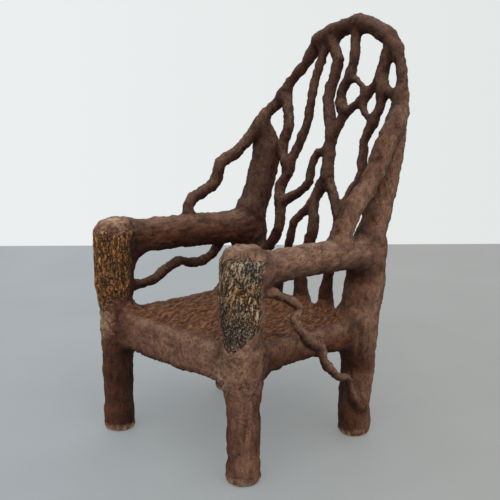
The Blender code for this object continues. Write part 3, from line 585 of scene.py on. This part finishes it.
def bark_tree():
    """Long flakes parted by furrows, each flake at a height of its own."""
    tree, given = new_tree("bark", {"Flake Width": "Float", "Flake Length": "Float",
                                    "Lean": "Float", "Depth": "Float", "Rise": "Float",
                                    "Material": "Material"})
    place = put(tree, "GeometryNodeInputPosition").outputs["Position"]
    bent = swirled(tree, place, *BARK_SWIRL)
    axes = put(tree, "ShaderNodeSeparateXYZ", {0: bent}).outputs
    run = put(tree, "ShaderNodeMath", {0: axes["Z"], 1: given["Lean"], 2: axes["X"]},
              operation="MULTIPLY_ADD").outputs[0]
    ratio = put(tree, "ShaderNodeMath", {0: given["Flake Width"], 1: given["Flake Length"]},
                operation="DIVIDE").outputs[0]
    rise = put(tree, "ShaderNodeMath", {0: axes["Z"], 1: ratio}, operation="MULTIPLY")
    where = put(tree, "ShaderNodeCombineXYZ", {"X": run, "Y": axes["Y"],
                                               "Z": rise.outputs[0]}).outputs[0]
    scale = put(tree, "ShaderNodeMath", {0: 1.0, 1: given["Flake Width"]},
                operation="DIVIDE").outputs[0]
    plates = []
    for count, width, floor in FURROWS:
        finer = put(tree, "ShaderNodeMath", {0: scale, 1: count}, operation="MULTIPLY")
        noise = put(tree, "ShaderNodeTexNoise", {"Vector": where, "Scale": finer.outputs[0],
                                                 "Detail": FURROW_DETAIL,
                                                 "Roughness": FURROW_ROUGHNESS})
        centred = put(tree, "ShaderNodeMath", {0: noise.outputs[0], 1: NOISE_MIDDLE},
                      operation="SUBTRACT")
        ridge = put(tree, "ShaderNodeMath", {0: centred.outputs[0]}, operation="ABSOLUTE")
        plates.append(put(tree, "ShaderNodeMapRange",
                          {"Value": ridge.outputs[0], "From Max": width / 2, "To Min": floor},
                          interpolation_type="SMOOTHSTEP").outputs[0])
    plate = plates[0]
    for finer in plates[1:]:
        plate = put(tree, "ShaderNodeMath", {0: plate, 1: finer}, operation="MULTIPLY").outputs[0]
    random = put(tree, "ShaderNodeTexNoise", {"Vector": where, "Scale": scale,
                                              "Detail": FLAKE_DETAIL}).outputs[0]
    tall = put(tree, "ShaderNodeMapRange", {
        "Value": random, "From Min": NOISE_SPAN[0], "From Max": NOISE_SPAN[1],
        "To Min": FLAKE_HEIGHTS[0], "To Max": FLAKE_HEIGHTS[1]}).outputs[0]
    up = put(tree, "ShaderNodeMath", {0: plate, 1: tall}, operation="MULTIPLY").outputs[0]
    level = put(tree, "ShaderNodeMath", {0: up, 1: BARK_LEVEL}, operation="SUBTRACT").outputs[0]
    inside = put(tree, "GeometryNodeInputNamedAttribute", {"Name": "inside"})
    edge = put(tree, "ShaderNodeMapRange", {"Value": inside.outputs["Attribute"],
                                            "From Max": BARK_EDGE}).outputs[0]
    proud = put(tree, "ShaderNodeMath", {0: level, 1: given["Depth"], 2: given["Rise"]},
                operation="MULTIPLY_ADD").outputs[0]
    height = put(tree, "ShaderNodeMath", {0: proud, 1: edge}, operation="MULTIPLY").outputs[0]
    raise_surface(tree, given, height, {"plate": up, "flake": random})
    return tree


def comb_tree():
    """Grain combed into the wet seat in short strokes from front to back."""
    tree, given = new_tree("combed_grain", {"Stroke Width": "Float", "Stroke Length": "Float",
                                            "Turn": "Float", "Depth": "Float",
                                            "Lump Size": "Float", "Lump Depth": "Float",
                                            "Material": "Material"})
    place = put(tree, "GeometryNodeInputPosition").outputs["Position"]
    bent = swirled(tree, place, *GRAIN_SWIRL)
    turned = put(tree, "ShaderNodeVectorRotate", {"Vector": bent, "Angle": given["Turn"]},
                 rotation_type="Z_AXIS")
    axes = put(tree, "ShaderNodeSeparateXYZ", {0: turned.outputs["Vector"]}).outputs
    ratio = put(tree, "ShaderNodeMath", {0: given["Stroke Width"], 1: given["Stroke Length"]},
                operation="DIVIDE").outputs[0]
    along = put(tree, "ShaderNodeMath", {0: axes["Y"], 1: ratio}, operation="MULTIPLY")
    where = put(tree, "ShaderNodeCombineXYZ", {"X": axes["X"], "Y": along.outputs[0],
                                               "Z": axes["Z"]}).outputs[0]
    scale = put(tree, "ShaderNodeMath", {0: 1.0, 1: given["Stroke Width"]},
                operation="DIVIDE").outputs[0]
    strokes = put(tree, "ShaderNodeTexNoise", {"Vector": where, "Scale": scale,
                                               "Detail": COMB_DETAIL,
                                               "Roughness": BUMP_ROUGHNESS})
    comb = put(tree, "ShaderNodeMapRange", {"Value": strokes.outputs[0], "From Min": COMB_SPAN[0],
                                            "From Max": COMB_SPAN[1]}).outputs[0]
    inside = put(tree, "GeometryNodeInputNamedAttribute", {"Name": "inside"})
    level = put(tree, "ShaderNodeMath", {0: comb, 1: COMB_LEVEL}, operation="SUBTRACT").outputs[0]
    faded = put(tree, "ShaderNodeMath", {0: level, 1: inside.outputs["Attribute"]},
                operation="MULTIPLY").outputs[0]
    lump = bumps(tree, place, given["Lump Size"], LUMP_DETAIL)
    broad = put(tree, "ShaderNodeMath", {0: lump, 1: given["Lump Depth"]},
                operation="MULTIPLY").outputs[0]
    height = put(tree, "ShaderNodeMath", {0: faded, 1: given["Depth"], 2: broad},
                 operation="MULTIPLY_ADD").outputs[0]
    raise_surface(tree, given, height, {"comb": comb})
    return tree


def apply_tree(made, tree, settings):
    """Run a geometry tree on a piece and keep the result as its plain mesh."""
    modifier = made.modifiers.new(tree.name, "NODES")
    modifier.node_group = tree
    sockets = {item.name: item.identifier for item in tree.interface.items_tree
               if item.in_out == "INPUT"}
    for name, value in settings.items():
        modifier[sockets[name]] = value
    depsgraph = bpy.context.evaluated_depsgraph_get()
    mesh = bpy.data.meshes.new_from_object(made.evaluated_get(depsgraph))
    if not mesh.materials or not mesh.polygons:
        raise RuntimeError(f"{tree.name} left {made.name} without faces or material")
    made.modifiers.remove(modifier)
    before, made.data = made.data, mesh
    bpy.data.meshes.remove(before)
    mesh.name = made.name
    mesh.shade_smooth()


# Materials

# Size and detail of the noises that cement shows, from broad clouds to grit
NOISES = {"cloud": (0.120, 3.0), "patch": (0.055, 4.0), "dab": (0.018, 4.0),
          "grit": (0.0050, 2.0)}
NOISE_ROUGHNESS = 0.65           # strength of each finer layer of those noises
GRIT_SHARE = 0.7                 # height of the grit next to that of the dabs
BUMP_HEIGHT = 0.0042
BUMP_STRENGTH = 0.9
SCALE_SIZE = 0.012               # width of the patches in the steel's scale


def new_material(name):
    """A new material with nodes, its tree and its shader."""
    made = bpy.data.materials.new(name)
    made.use_nodes = True
    tree = made.node_tree
    return made, tree, tree.nodes["Principled BSDF"]


def layered(tree, base, layers):
    """Colours laid over a base, each by a source mapped from its range to an amount."""
    colour = tuple(base)
    for source, low, high, amount, code, *blend in layers:
        share = put(tree, "ShaderNodeMapRange", {"Value": source, "From Min": low,
                                                 "From Max": high, "To Max": amount})
        colour = put(tree, "ShaderNodeMix", {0: share.outputs[0], MIX_A: colour,
                                             MIX_B: linear(code)},
                     data_type="RGBA", blend_type=(blend or ["MIX"])[0]).outputs[MIX_OUT]
    return colour


def matte(name, *labels):
    """A dry, dull, gritty material, its tree and shader, its noises and its piece's values."""
    made, tree, shader = new_material(name)
    shader.inputs["Roughness"].default_value = 0.85
    shader.inputs["Specular IOR Level"].default_value = 0.25
    place = put(tree, "ShaderNodeTexCoord").outputs["Object"]
    noise = {label: put(tree, "ShaderNodeTexNoise",
                        {"Vector": place, "Scale": 1 / size, "Detail": detail,
                         "Roughness": NOISE_ROUGHNESS}).outputs[0]
             for label, (size, detail) in NOISES.items()}
    value = {label: put(tree, "ShaderNodeAttribute", attribute_name=label).outputs["Fac"]
             for label in labels}
    rough = put(tree, "ShaderNodeMath", {0: noise["grit"], 1: GRIT_SHARE, 2: noise["dab"]},
                operation="MULTIPLY_ADD")
    bump = put(tree, "ShaderNodeBump", {"Height": rough.outputs[0], "Distance": BUMP_HEIGHT,
                                        "Strength": BUMP_STRENGTH})
    tree.links.new(bump.outputs[0], shader.inputs["Normal"])
    return made, tree, shader, noise, value


def tinted_cement():
    """Iron-oxide tinted mortar, trowelled wet: gritty, paler and greyer where it is rubbed; light
    and shade painted in.
    """
    made, tree, shader, noise, value = matte("tinted_cement", "relief", "dab", "crevice_shade", "pit",
                                             "worn", "weather_and_light", "upward")
    broken = put(tree, "ShaderNodeMapRange", {"Value": noise["dab"], "From Min": 0.36,
                                              "From Max": 0.58}).outputs[0]
    scuffed = put(tree, "ShaderNodeMath", {0: value["worn"], 1: broken},
                  operation="MULTIPLY").outputs[0]
    dirty = put(tree, "ShaderNodeMapRange", {"Value": noise["patch"], "From Min": 0.40,
                                             "From Max": 0.60, "To Min": 0.25}).outputs[0]
    specks = put(tree, "ShaderNodeMapRange", {"Value": noise["grit"], "From Min": 0.54,
                                              "From Max": 0.64}).outputs[0]
    dirt = put(tree, "ShaderNodeMath", {0: specks, 1: dirty}, operation="MULTIPLY").outputs[0]
    deep, pale, black = ("#b2a69c", "MULTIPLY"), ("#a6a593", "DODGE"), ("#80726a", "MULTIPLY")
    colour = layered(tree, bpy.context.scene.cement.colour, [
        (noise["cloud"], 0.42, 0.62, 0.60, "#683f29"),
        # Weathering and painted light: darker where less weathered and in painted shade, paler
        # where more weathered and in painted light
        (value["weather_and_light"], 0.5, 0.0, 0.60, "#240f07"),
        (value["weather_and_light"], 0.5, 1.0, 0.58, "#96735e"),
        # Painted light and shade by facing: tops paler, partly dust and partly painted light from
        # above; undersides painted in shade
        (value["upward"], 0.1, 0.9, 0.45, "#8b6f5d"),
        (value["upward"], 0.1, -0.8, 0.82, "#2e1309"),
        # Painted shade in the filleted corners where limbs meet
        (value["crevice_shade"], 0.15, 0.8, 0.66, "#2c1209"),
        (value["worn"], 0.2, 1.0, 0.65, "#9e6b42"),
        (scuffed, 0.1, 0.8, 0.70, "#bda48e"),
        (noise["patch"], 0.47, 0.32, 0.50, *deep),
        (noise["patch"], 0.54, 0.70, 0.40, *pale),
        # Hollows of the lumps and dabs, and the pits, are darker, partly dirt and partly painted
        # shade; the rises paler, partly dust and partly painted highlight
        (value["relief"], -0.1, -1.2, 0.75, *deep),
        (value["relief"], 0.1, 1.2, 0.50, *pale),
        (value["dab"], 0.0, -1.1, 0.95, *deep),
        (value["dab"], 0.1, 1.2, 0.80, *pale),
        (value["pit"], 0.2, 1.0, 0.80, *black),
        (dirt, 0.0, 1.0, 0.80, *black),
        (noise["grit"], 0.46, 0.34, 0.65, *pale)])
    tree.links.new(colour, shader.inputs["Base Color"])
    return made


def ochre_grain_cement():
    """Ochre mortar of the seat, combed wet: darker down in the comb's strokes."""
    made, tree, shader, noise, value = matte("ochre_grain_cement", "comb", "inside")
    edge = put(tree, "ShaderNodeMath", {0: noise["patch"], 1: value["inside"]},
               operation="SUBTRACT").outputs[0]
    colour = layered(tree, bpy.context.scene.seat.colour, [
        (noise["cloud"], 0.40, 0.64, 0.6, "#7a4d2d"),
        (value["comb"], 0.55, 1.0, 0.80, "#a1714a"),
        (value["comb"], 0.50, 0.05, 0.80, "#2e170b"),
        (edge, -0.35, 0.35, 0.85, "#694737"),
        (noise["grit"], 0.54, 0.68, 0.60, "#29140b")])
    tree.links.new(colour, shader.inputs["Base Color"])
    return made


def bark_cement(name, base, low, high, glint, tint):
    """Mortar cut and stained as bark: dark furrows between flakes that are rubbed paler."""
    made, tree, shader, noise, value = matte(name, "plate", "flake", "inside", "worn", "stain")
    edge = put(tree, "ShaderNodeMath", {0: noise["patch"], 1: value["inside"]},
               operation="SUBTRACT").outputs[0]
    mortar = "#5e3b2b"
    colour = layered(tree, base, [
        (value["flake"], 0.40, 0.65, 0.8, high),
        (noise["patch"], 0.44, 0.58, 0.88, tint),
        (value["plate"], 0.38, 0.75, 0.90, glint),
        (value["worn"], 0.1, 0.6, 0.60, "#c4b49f"),
        (noise["patch"], 0.46, 0.34, 0.55, low),
        (value["stain"], 0.1, 0.7, 0.90, "#6d5d50", "MULTIPLY"),
        (edge, 0.10, 0.45, 0.85, mortar),
        (value["plate"], 0.36, 0.12, 0.95, low),
        (edge, 0.30, 0.50, 0.80, mortar),
        (noise["grit"], 0.55, 0.66, 0.50, low),
        (noise["grit"], 0.44, 0.34, 0.40, glint)])
    tree.links.new(colour, shader.inputs["Base Color"])
    return made


def golden_bark():
    """Bark of the left post, stained ochre."""
    return bark_cement("golden_bark_cement", bpy.context.scene.bark.left_colour,
                       low="#2a170a", high="#996b30", glint="#bd9260", tint="#8c4f22")


def pale_bark():
    """Bark of the right post, rubbed pale over dark furrows."""
    return bark_cement("pale_bark_cement", bpy.context.scene.bark.right_colour,
                       low="#21170f", high="#9a7a51", glint="#cdbca2", tint="#9f6a32")


def hot_rolled_steel():
    """Bare hot-rolled bar with a thin brown-grey scale."""
    made, tree, shader = new_material("hot_rolled_steel")
    place = put(tree, "ShaderNodeTexCoord").outputs["Object"]
    scale = put(tree, "ShaderNodeTexNoise", {"Vector": place, "Scale": 1 / SCALE_SIZE,
                                             "Detail": 4.0}).outputs[0]
    colour = layered(tree, linear("#5c5751"), [(scale, 0.5, 0.7, 0.6, "#4a3a2f")])
    tree.links.new(colour, shader.inputs["Base Color"])
    shader.inputs["Metallic"].default_value = 0.9
    shader.inputs["Roughness"].default_value = 0.55
    return made


# Pieces

FEET_LOWER = 2.5                 # the feet are worn this many times less far up than other places
WEATHER_AND_LIGHT_MIDDLE = 0.5             # weathering and painted light of a face that no rule changes
# How dabs are drawn out along a limb: where a number is lower, they are longer along that axis
EVEN = (1.0, 1.0, 1.0)
ALONG_LEGS = (1.0, 1.0, 0.3)
ALONG_RAILS = (1.0, 0.35, 1.0)
ALONG_BACK = (1.0, 1.0, 0.5)


def settle(made, node):
    """Put a finished piece on the chair in place of its CAD node."""
    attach(made, "root")
    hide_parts(node)


def near(points, places):
    """How strongly some places, each with an amount, spread to the points."""
    reach = bpy.context.scene.cement.worn_reach
    shares = [amount * (1 - np.linalg.norm(points - np.array(place), axis=1) / reach)
              for *place, amount in places]
    return np.clip(np.maximum.reduce(shares), 0, 1)


def rubbed(points):
    """How worn the cement is: at the feet, the post tops and the scuffed places."""
    tops = []
    for post, amount in zip(ARM_POSTS, TOPS_WORN):
        low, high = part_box(post)
        tops.append(((low.x + high.x) / 2, (low.y + high.y) / 2, high.z, amount))
    feet = np.clip(1 - points[:, 2] * FEET_LOWER / bpy.context.scene.cement.worn_reach, 0, 1)
    return np.maximum(near(points, [*SCUFFS, *tops]), feet)


def weathered_and_lit(mesh, points):
    """How weathered and how lit the cement is painted: paler outside and darker on faces turned
    in towards the chair, as painted light and shade; more weathered to the right, less at the
    top, and darker towards the bottom.
    """
    cement = bpy.context.scene.cement
    normals = np.empty(len(points) * 3, np.float32)
    mesh.vertices.foreach_get("normal", normals)
    outward = points[:, :2] - SEAT_MIDDLE
    outward = outward / np.linalg.norm(outward, axis=1, keepdims=True)
    facing = (normals.reshape(-1, 3)[:, :2] * outward).sum(axis=1)
    high = np.clip((points[:, 2] - SHELTER[0]) / (SHELTER[1] - SHELTER[0]), 0, 1)
    low = np.clip((DARKENING[1] - points[:, 2]) / (DARKENING[1] - DARKENING[0]), 0, 1)
    # The facing term is painted shade on inward faces and painted light on outward ones
    return (WEATHER_AND_LIGHT_MIDDLE + cement.facing_shade * facing
            + cement.weather_side * points[:, 0]
            - cement.weather_top * high - cement.darkened * low)


def cement_pieces(nodes, lump_depth, stretch=EVEN, shade=0.0):
    """Skin pieces of tinted cement; stretch draws the dabs out along the limbs."""
    cement = bpy.context.scene.cement
    for node in nodes:
        made = form_piece(node + "_skin", node, cement.pitch, shade)
        apply_tree(made, once(skin_tree), {
            "Lump Size": cement.lump_size, "Lump Depth": lump_depth,
            "Dab Size": cement.dab_size, "Dab Depth": cement.dab_depth,
            "Pit Size": cement.pit_size, "Pit Depth": cement.pit_depth,
            "Stretch": stretch, "Material": once(tinted_cement)})
        settle(made, node)


class ARMCHAIR_OT_legs(bpy.types.Operator):
    """Legs, smeared upright by hand and scuffed at the feet"""

    bl_idname = "armchair.legs"
    bl_label = "Legs"

    def execute(self, context):
        cement = context.scene.cement
        cement_pieces(LEGS, cement.lump_depth, ALONG_LEGS)
        return {"FINISHED"}


class ARMCHAIR_OT_arm_posts(bpy.types.Operator):
    """Arm posts with rubbed tops"""

    bl_idname = "armchair.arm_posts"
    bl_label = "Arm Posts"

    def execute(self, context):
        cement_pieces(ARM_POSTS, context.scene.cement.lump_depth)
        return {"FINISHED"}


class ARMCHAIR_OT_bark(bpy.types.Operator):
    """Bark on the fronts of the arm posts"""

    bl_idname = "armchair.bark"
    bl_label = "Bark"

    def execute(self, context):
        bark = context.scene.bark
        for node, flake, lean, paint in (
                (BARK[0], bark.left_flake, bark.left_lean, golden_bark),
                (BARK[1], bark.right_flake, bark.right_lean, pale_bark)):
            made = form_piece(node + "_flakes", node, bark.pitch)
            apply_tree(made, once(bark_tree), {
                "Flake Width": flake[0], "Flake Length": flake[1], "Lean": lean,
                "Depth": bark.depth, "Rise": bark.rise, "Material": once(paint)})
            settle(made, node)
        return {"FINISHED"}


class ARMCHAIR_OT_seat(bpy.types.Operator):
    """Rim of the seat and its combed face"""

    bl_idname = "armchair.seat"
    bl_label = "Seat"

    def execute(self, context):
        cement, seat = context.scene.cement, context.scene.seat
        cement_pieces(SEAT_RIM[:2], cement.lump_depth)
        # The seat's side aprons and core are painted darker: painted shade under the arm rails
        cement_pieces(SEAT_RIM[2:], cement.lump_depth, shade=cement.rim_shade)
        made = form_piece(SEAT_FACE + "_grain", SEAT_FACE, seat.pitch)
        apply_tree(made, once(comb_tree), {
            "Stroke Width": seat.stroke[0], "Stroke Length": seat.stroke[1],
            "Turn": seat.turn, "Depth": seat.depth, "Lump Size": cement.lump_size,
            "Lump Depth": cement.lump_depth, "Material": once(ochre_grain_cement)})
        settle(made, SEAT_FACE)
        return {"FINISHED"}


class ARMCHAIR_OT_arm_rails(bpy.types.Operator):
    """Arm rails"""

    bl_idname = "armchair.arm_rails"
    bl_label = "Arm Rails"

    def execute(self, context):
        cement = context.scene.cement
        # The arm rails are painted paler, taking back some painted shade from their inward faces
        cement_pieces(ARM_RAILS, cement.lump_depth, ALONG_RAILS, cement.rail_shade)
        return {"FINISHED"}


class ARMCHAIR_OT_back(bpy.types.Operator):
    """Posts, crest, braces and lattice of the back"""

    bl_idname = "armchair.back"
    bl_label = "Back"

    def execute(self, context):
        cement = context.scene.cement
        cement_pieces(BACK_FRAME, cement.branch_lump_depth, ALONG_BACK)
        # The lattice is painted darker: painted shade of branches against the light
        cement_pieces(LATTICE, cement.branch_lump_depth, ALONG_BACK, cement.lattice_shade)
        return {"FINISHED"}


class ARMCHAIR_OT_vines(bpy.types.Operator):
    """Vines under the left arm and beside the right of the seat"""

    bl_idname = "armchair.vines"
    bl_label = "Vines"

    def execute(self, context):
        cement_pieces(VINES, context.scene.cement.branch_lump_depth)
        return {"FINISHED"}


class ARMCHAIR_OT_steel(bpy.types.Operator):
    """Bars buried in the cement"""

    bl_idname = "armchair.steel"
    bl_label = "Steel"

    def execute(self, context):
        for node in STEEL:
            frame["nodes"][node].data.materials.clear()
            frame["nodes"][node].data.materials.append(once(hot_rolled_steel))
        return {"FINISHED"}


# Stage

SENSOR_WIDTH = 36.0
FLOOR_HALF = 60                  # half the width of the floor
FLOOR_CLOUD = 0.5                # width of the clouds in the floor's paint
FLOOR_GLOW = 0.78                # stands for light thrown under the chair
FLOOR_SPAN = (-0.6, 0.5)         # places across the picture between which the floor's tone turns
WALL_SPAN = (-1.2, 1.4)          # places across the picture between which the wall's tone turns
WALL_HALF = 6
WALL_HEIGHT = 5


class ARMCHAIR_OT_stage(bpy.types.Operator):
    """Floor, wall, lights and camera"""

    bl_idname = "armchair.stage"
    bl_label = "Stage"

    def execute(self, context):
        scene, stage = context.scene, context.scene.stage
        scene.view_settings.view_transform = "Standard"
        right = Vector((math.cos(stage.azimuth), math.sin(stage.azimuth), 0))
        back = Vector((math.sin(stage.azimuth) * math.cos(stage.pitch),
                       -math.cos(stage.azimuth) * math.cos(stage.pitch),
                       math.sin(stage.pitch)))
        turn = Matrix((right, back.cross(right), back)).transposed().to_4x4()
        camera = bpy.data.objects.new("photo_camera", bpy.data.cameras.new("photo_camera"))
        scene.collection.objects.link(camera)
        camera.matrix_world = (Matrix.Translation(stage.camera) @ turn
                               @ Matrix.Rotation(stage.roll, 4, "Z"))
        camera.data.sensor_width = SENSOR_WIDTH
        camera.data.lens = stage.lens
        scene.camera = camera

        self.floor(scene, right)
        foot = Vector(stage.camera)
        foot.z = 0
        self.wall(scene, foot + right.cross(Vector((0, 0, -1))) * stage.wall, right)
        self.lights(scene, stage)
        return {"FINISHED"}

    def plane(self, scene, name, corners, material):
        mesh = bpy.data.meshes.new(name)
        mesh.from_pydata(corners, [], [(0, 1, 2, 3)])
        mesh.materials.append(material)
        made = bpy.data.objects.new(name, mesh)
        scene.collection.objects.link(made)
        return made

    def floor(self, scene, right):
        """Painted screed, faintly cloudy; its glow stands for light thrown under the chair"""
        paint, tree, shader = new_material("floor_paint")
        place = put(tree, "ShaderNodeTexCoord").outputs["Object"]
        cloud = put(tree, "ShaderNodeTexNoise", {"Vector": place, "Scale": 1 / FLOOR_CLOUD,
                                                 "Detail": 4.0}).outputs[0]
        across = put(tree, "ShaderNodeVectorMath", {0: place, 1: right}, operation="DOT_PRODUCT")
        colour = layered(tree, scene.stage.floor_colour, [
            (across.outputs["Value"], *FLOOR_SPAN, 1.0, "#7c7d7a"),
            (cloud, 0.35, 0.65, 1.0, "#404040", "DODGE")])
        for socket in ("Base Color", "Emission Color"):
            tree.links.new(colour, shader.inputs[socket])
        shader.inputs["Emission Strength"].default_value = FLOOR_GLOW
        shader.inputs["Roughness"].default_value = 0.7
        shader.inputs["Specular IOR Level"].default_value = 0.2
        far = FLOOR_HALF
        self.plane(scene, "floor", [(-far, -far, 0), (far, -far, 0), (far, far, 0),
                                    (-far, far, 0)], paint)

    def wall(self, scene, foot, right):
        """White wall, clear from behind, that throws no light or shadow on the chair"""
        paint, tree, _ = new_material("wall_paint")
        place = put(tree, "ShaderNodeTexCoord").outputs["Object"]
        across = put(tree, "ShaderNodeVectorMath", {0: place, 1: right}, operation="DOT_PRODUCT")
        shade = layered(tree, scene.stage.wall_colour, [
            (across.outputs["Value"], *WALL_SPAN, 1.0, "#e3e7e6")])
        glow = put(tree, "ShaderNodeEmission", {"Color": shade})
        clear = put(tree, "ShaderNodeBsdfTransparent")
        behind = put(tree, "ShaderNodeNewGeometry").outputs["Backfacing"]
        seen = put(tree, "ShaderNodeMixShader", {0: behind, 1: glow.outputs[0],
                                                 2: clear.outputs[0]})
        tree.links.new(seen.outputs[0], tree.nodes["Material Output"].inputs["Surface"])
        half = right * WALL_HALF
        height = Vector((0, 0, WALL_HEIGHT))
        made = self.plane(scene, "wall", [foot - half, foot + half, foot + half + height,
                                          foot - half + height], paint)
        made.visible_diffuse = made.visible_shadow = False
        made.visible_volume_scatter = False

    def lights(self, scene, stage):
        """Even light from all round and a wide skylight above"""
        world = bpy.data.worlds.new("studio")
        scene.world = world
        world.use_nodes = True
        tree = world.node_tree
        sky = tree.nodes["Background"]
        sky.inputs["Color"].default_value = linear("#f2f6ff")
        sky.inputs["Strength"].default_value = stage.sky
        backdrop = put(tree, "ShaderNodeBackground", {"Color": linear("#e6eaea")})
        path = put(tree, "ShaderNodeLightPath").outputs
        seen = path["Is Camera Ray"]
        for ray in ("Is Glossy Ray", "Is Transmission Ray"):
            seen = put(tree, "ShaderNodeMath", {0: seen, 1: path[ray]},
                       operation="MAXIMUM").outputs[0]
        both = put(tree, "ShaderNodeMixShader", {0: seen, 1: sky.outputs[0],
                                                 2: backdrop.outputs[0]})
        tree.links.new(both.outputs[0], tree.nodes["World Output"].inputs["Surface"])
        light = bpy.data.lights.new("skylight", "SUN")
        light.energy, light.angle = stage.key, stage.key_spread
        lamp = bpy.data.objects.new("skylight", light)
        scene.collection.objects.link(lamp)
        lamp.rotation_euler = stage.key_side.to_track_quat("Z", "Y").to_euler()


OPERATORS = (ARMCHAIR_OT_legs, ARMCHAIR_OT_arm_posts, ARMCHAIR_OT_bark, ARMCHAIR_OT_seat,
             ARMCHAIR_OT_arm_rails, ARMCHAIR_OT_back, ARMCHAIR_OT_vines, ARMCHAIR_OT_steel,
             ARMCHAIR_OT_stage)
SETTINGS = {"cement": CementSettings, "bark": BarkSettings, "seat": SeatSettings,
            "stage": StageSettings}


class ARMCHAIR_PT_panel(bpy.types.Panel):
    """Settings and steps of the armchair"""

    bl_idname = "ARMCHAIR_PT_panel"
    bl_label = "Armchair"
    bl_space_type = "VIEW_3D"
    bl_region_type = "UI"
    bl_category = "Armchair"

    def draw(self, context):
        for name, group in SETTINGS.items():
            box = self.layout.box()
            for label in group.__annotations__:
                box.prop(getattr(context.scene, name), label)
        for step in OPERATORS:
            self.layout.operator(step.bl_idname)


def register():
    for kind in (*SETTINGS.values(), *OPERATORS, ARMCHAIR_PT_panel):
        bpy.utils.register_class(kind)
    for name, group in SETTINGS.items():
        setattr(bpy.types.Scene, name, PointerProperty(type=group))


def unregister():
    for name in SETTINGS:
        delattr(bpy.types.Scene, name)
    for kind in (ARMCHAIR_PT_panel, *reversed(OPERATORS), *reversed(SETTINGS.values())):
        bpy.utils.unregister_class(kind)


def main():
    register()
    for step in OPERATORS:
        getattr(bpy.ops.armchair, step.bl_idname.split(".")[1])()


if __name__ == "__main__":
    main()
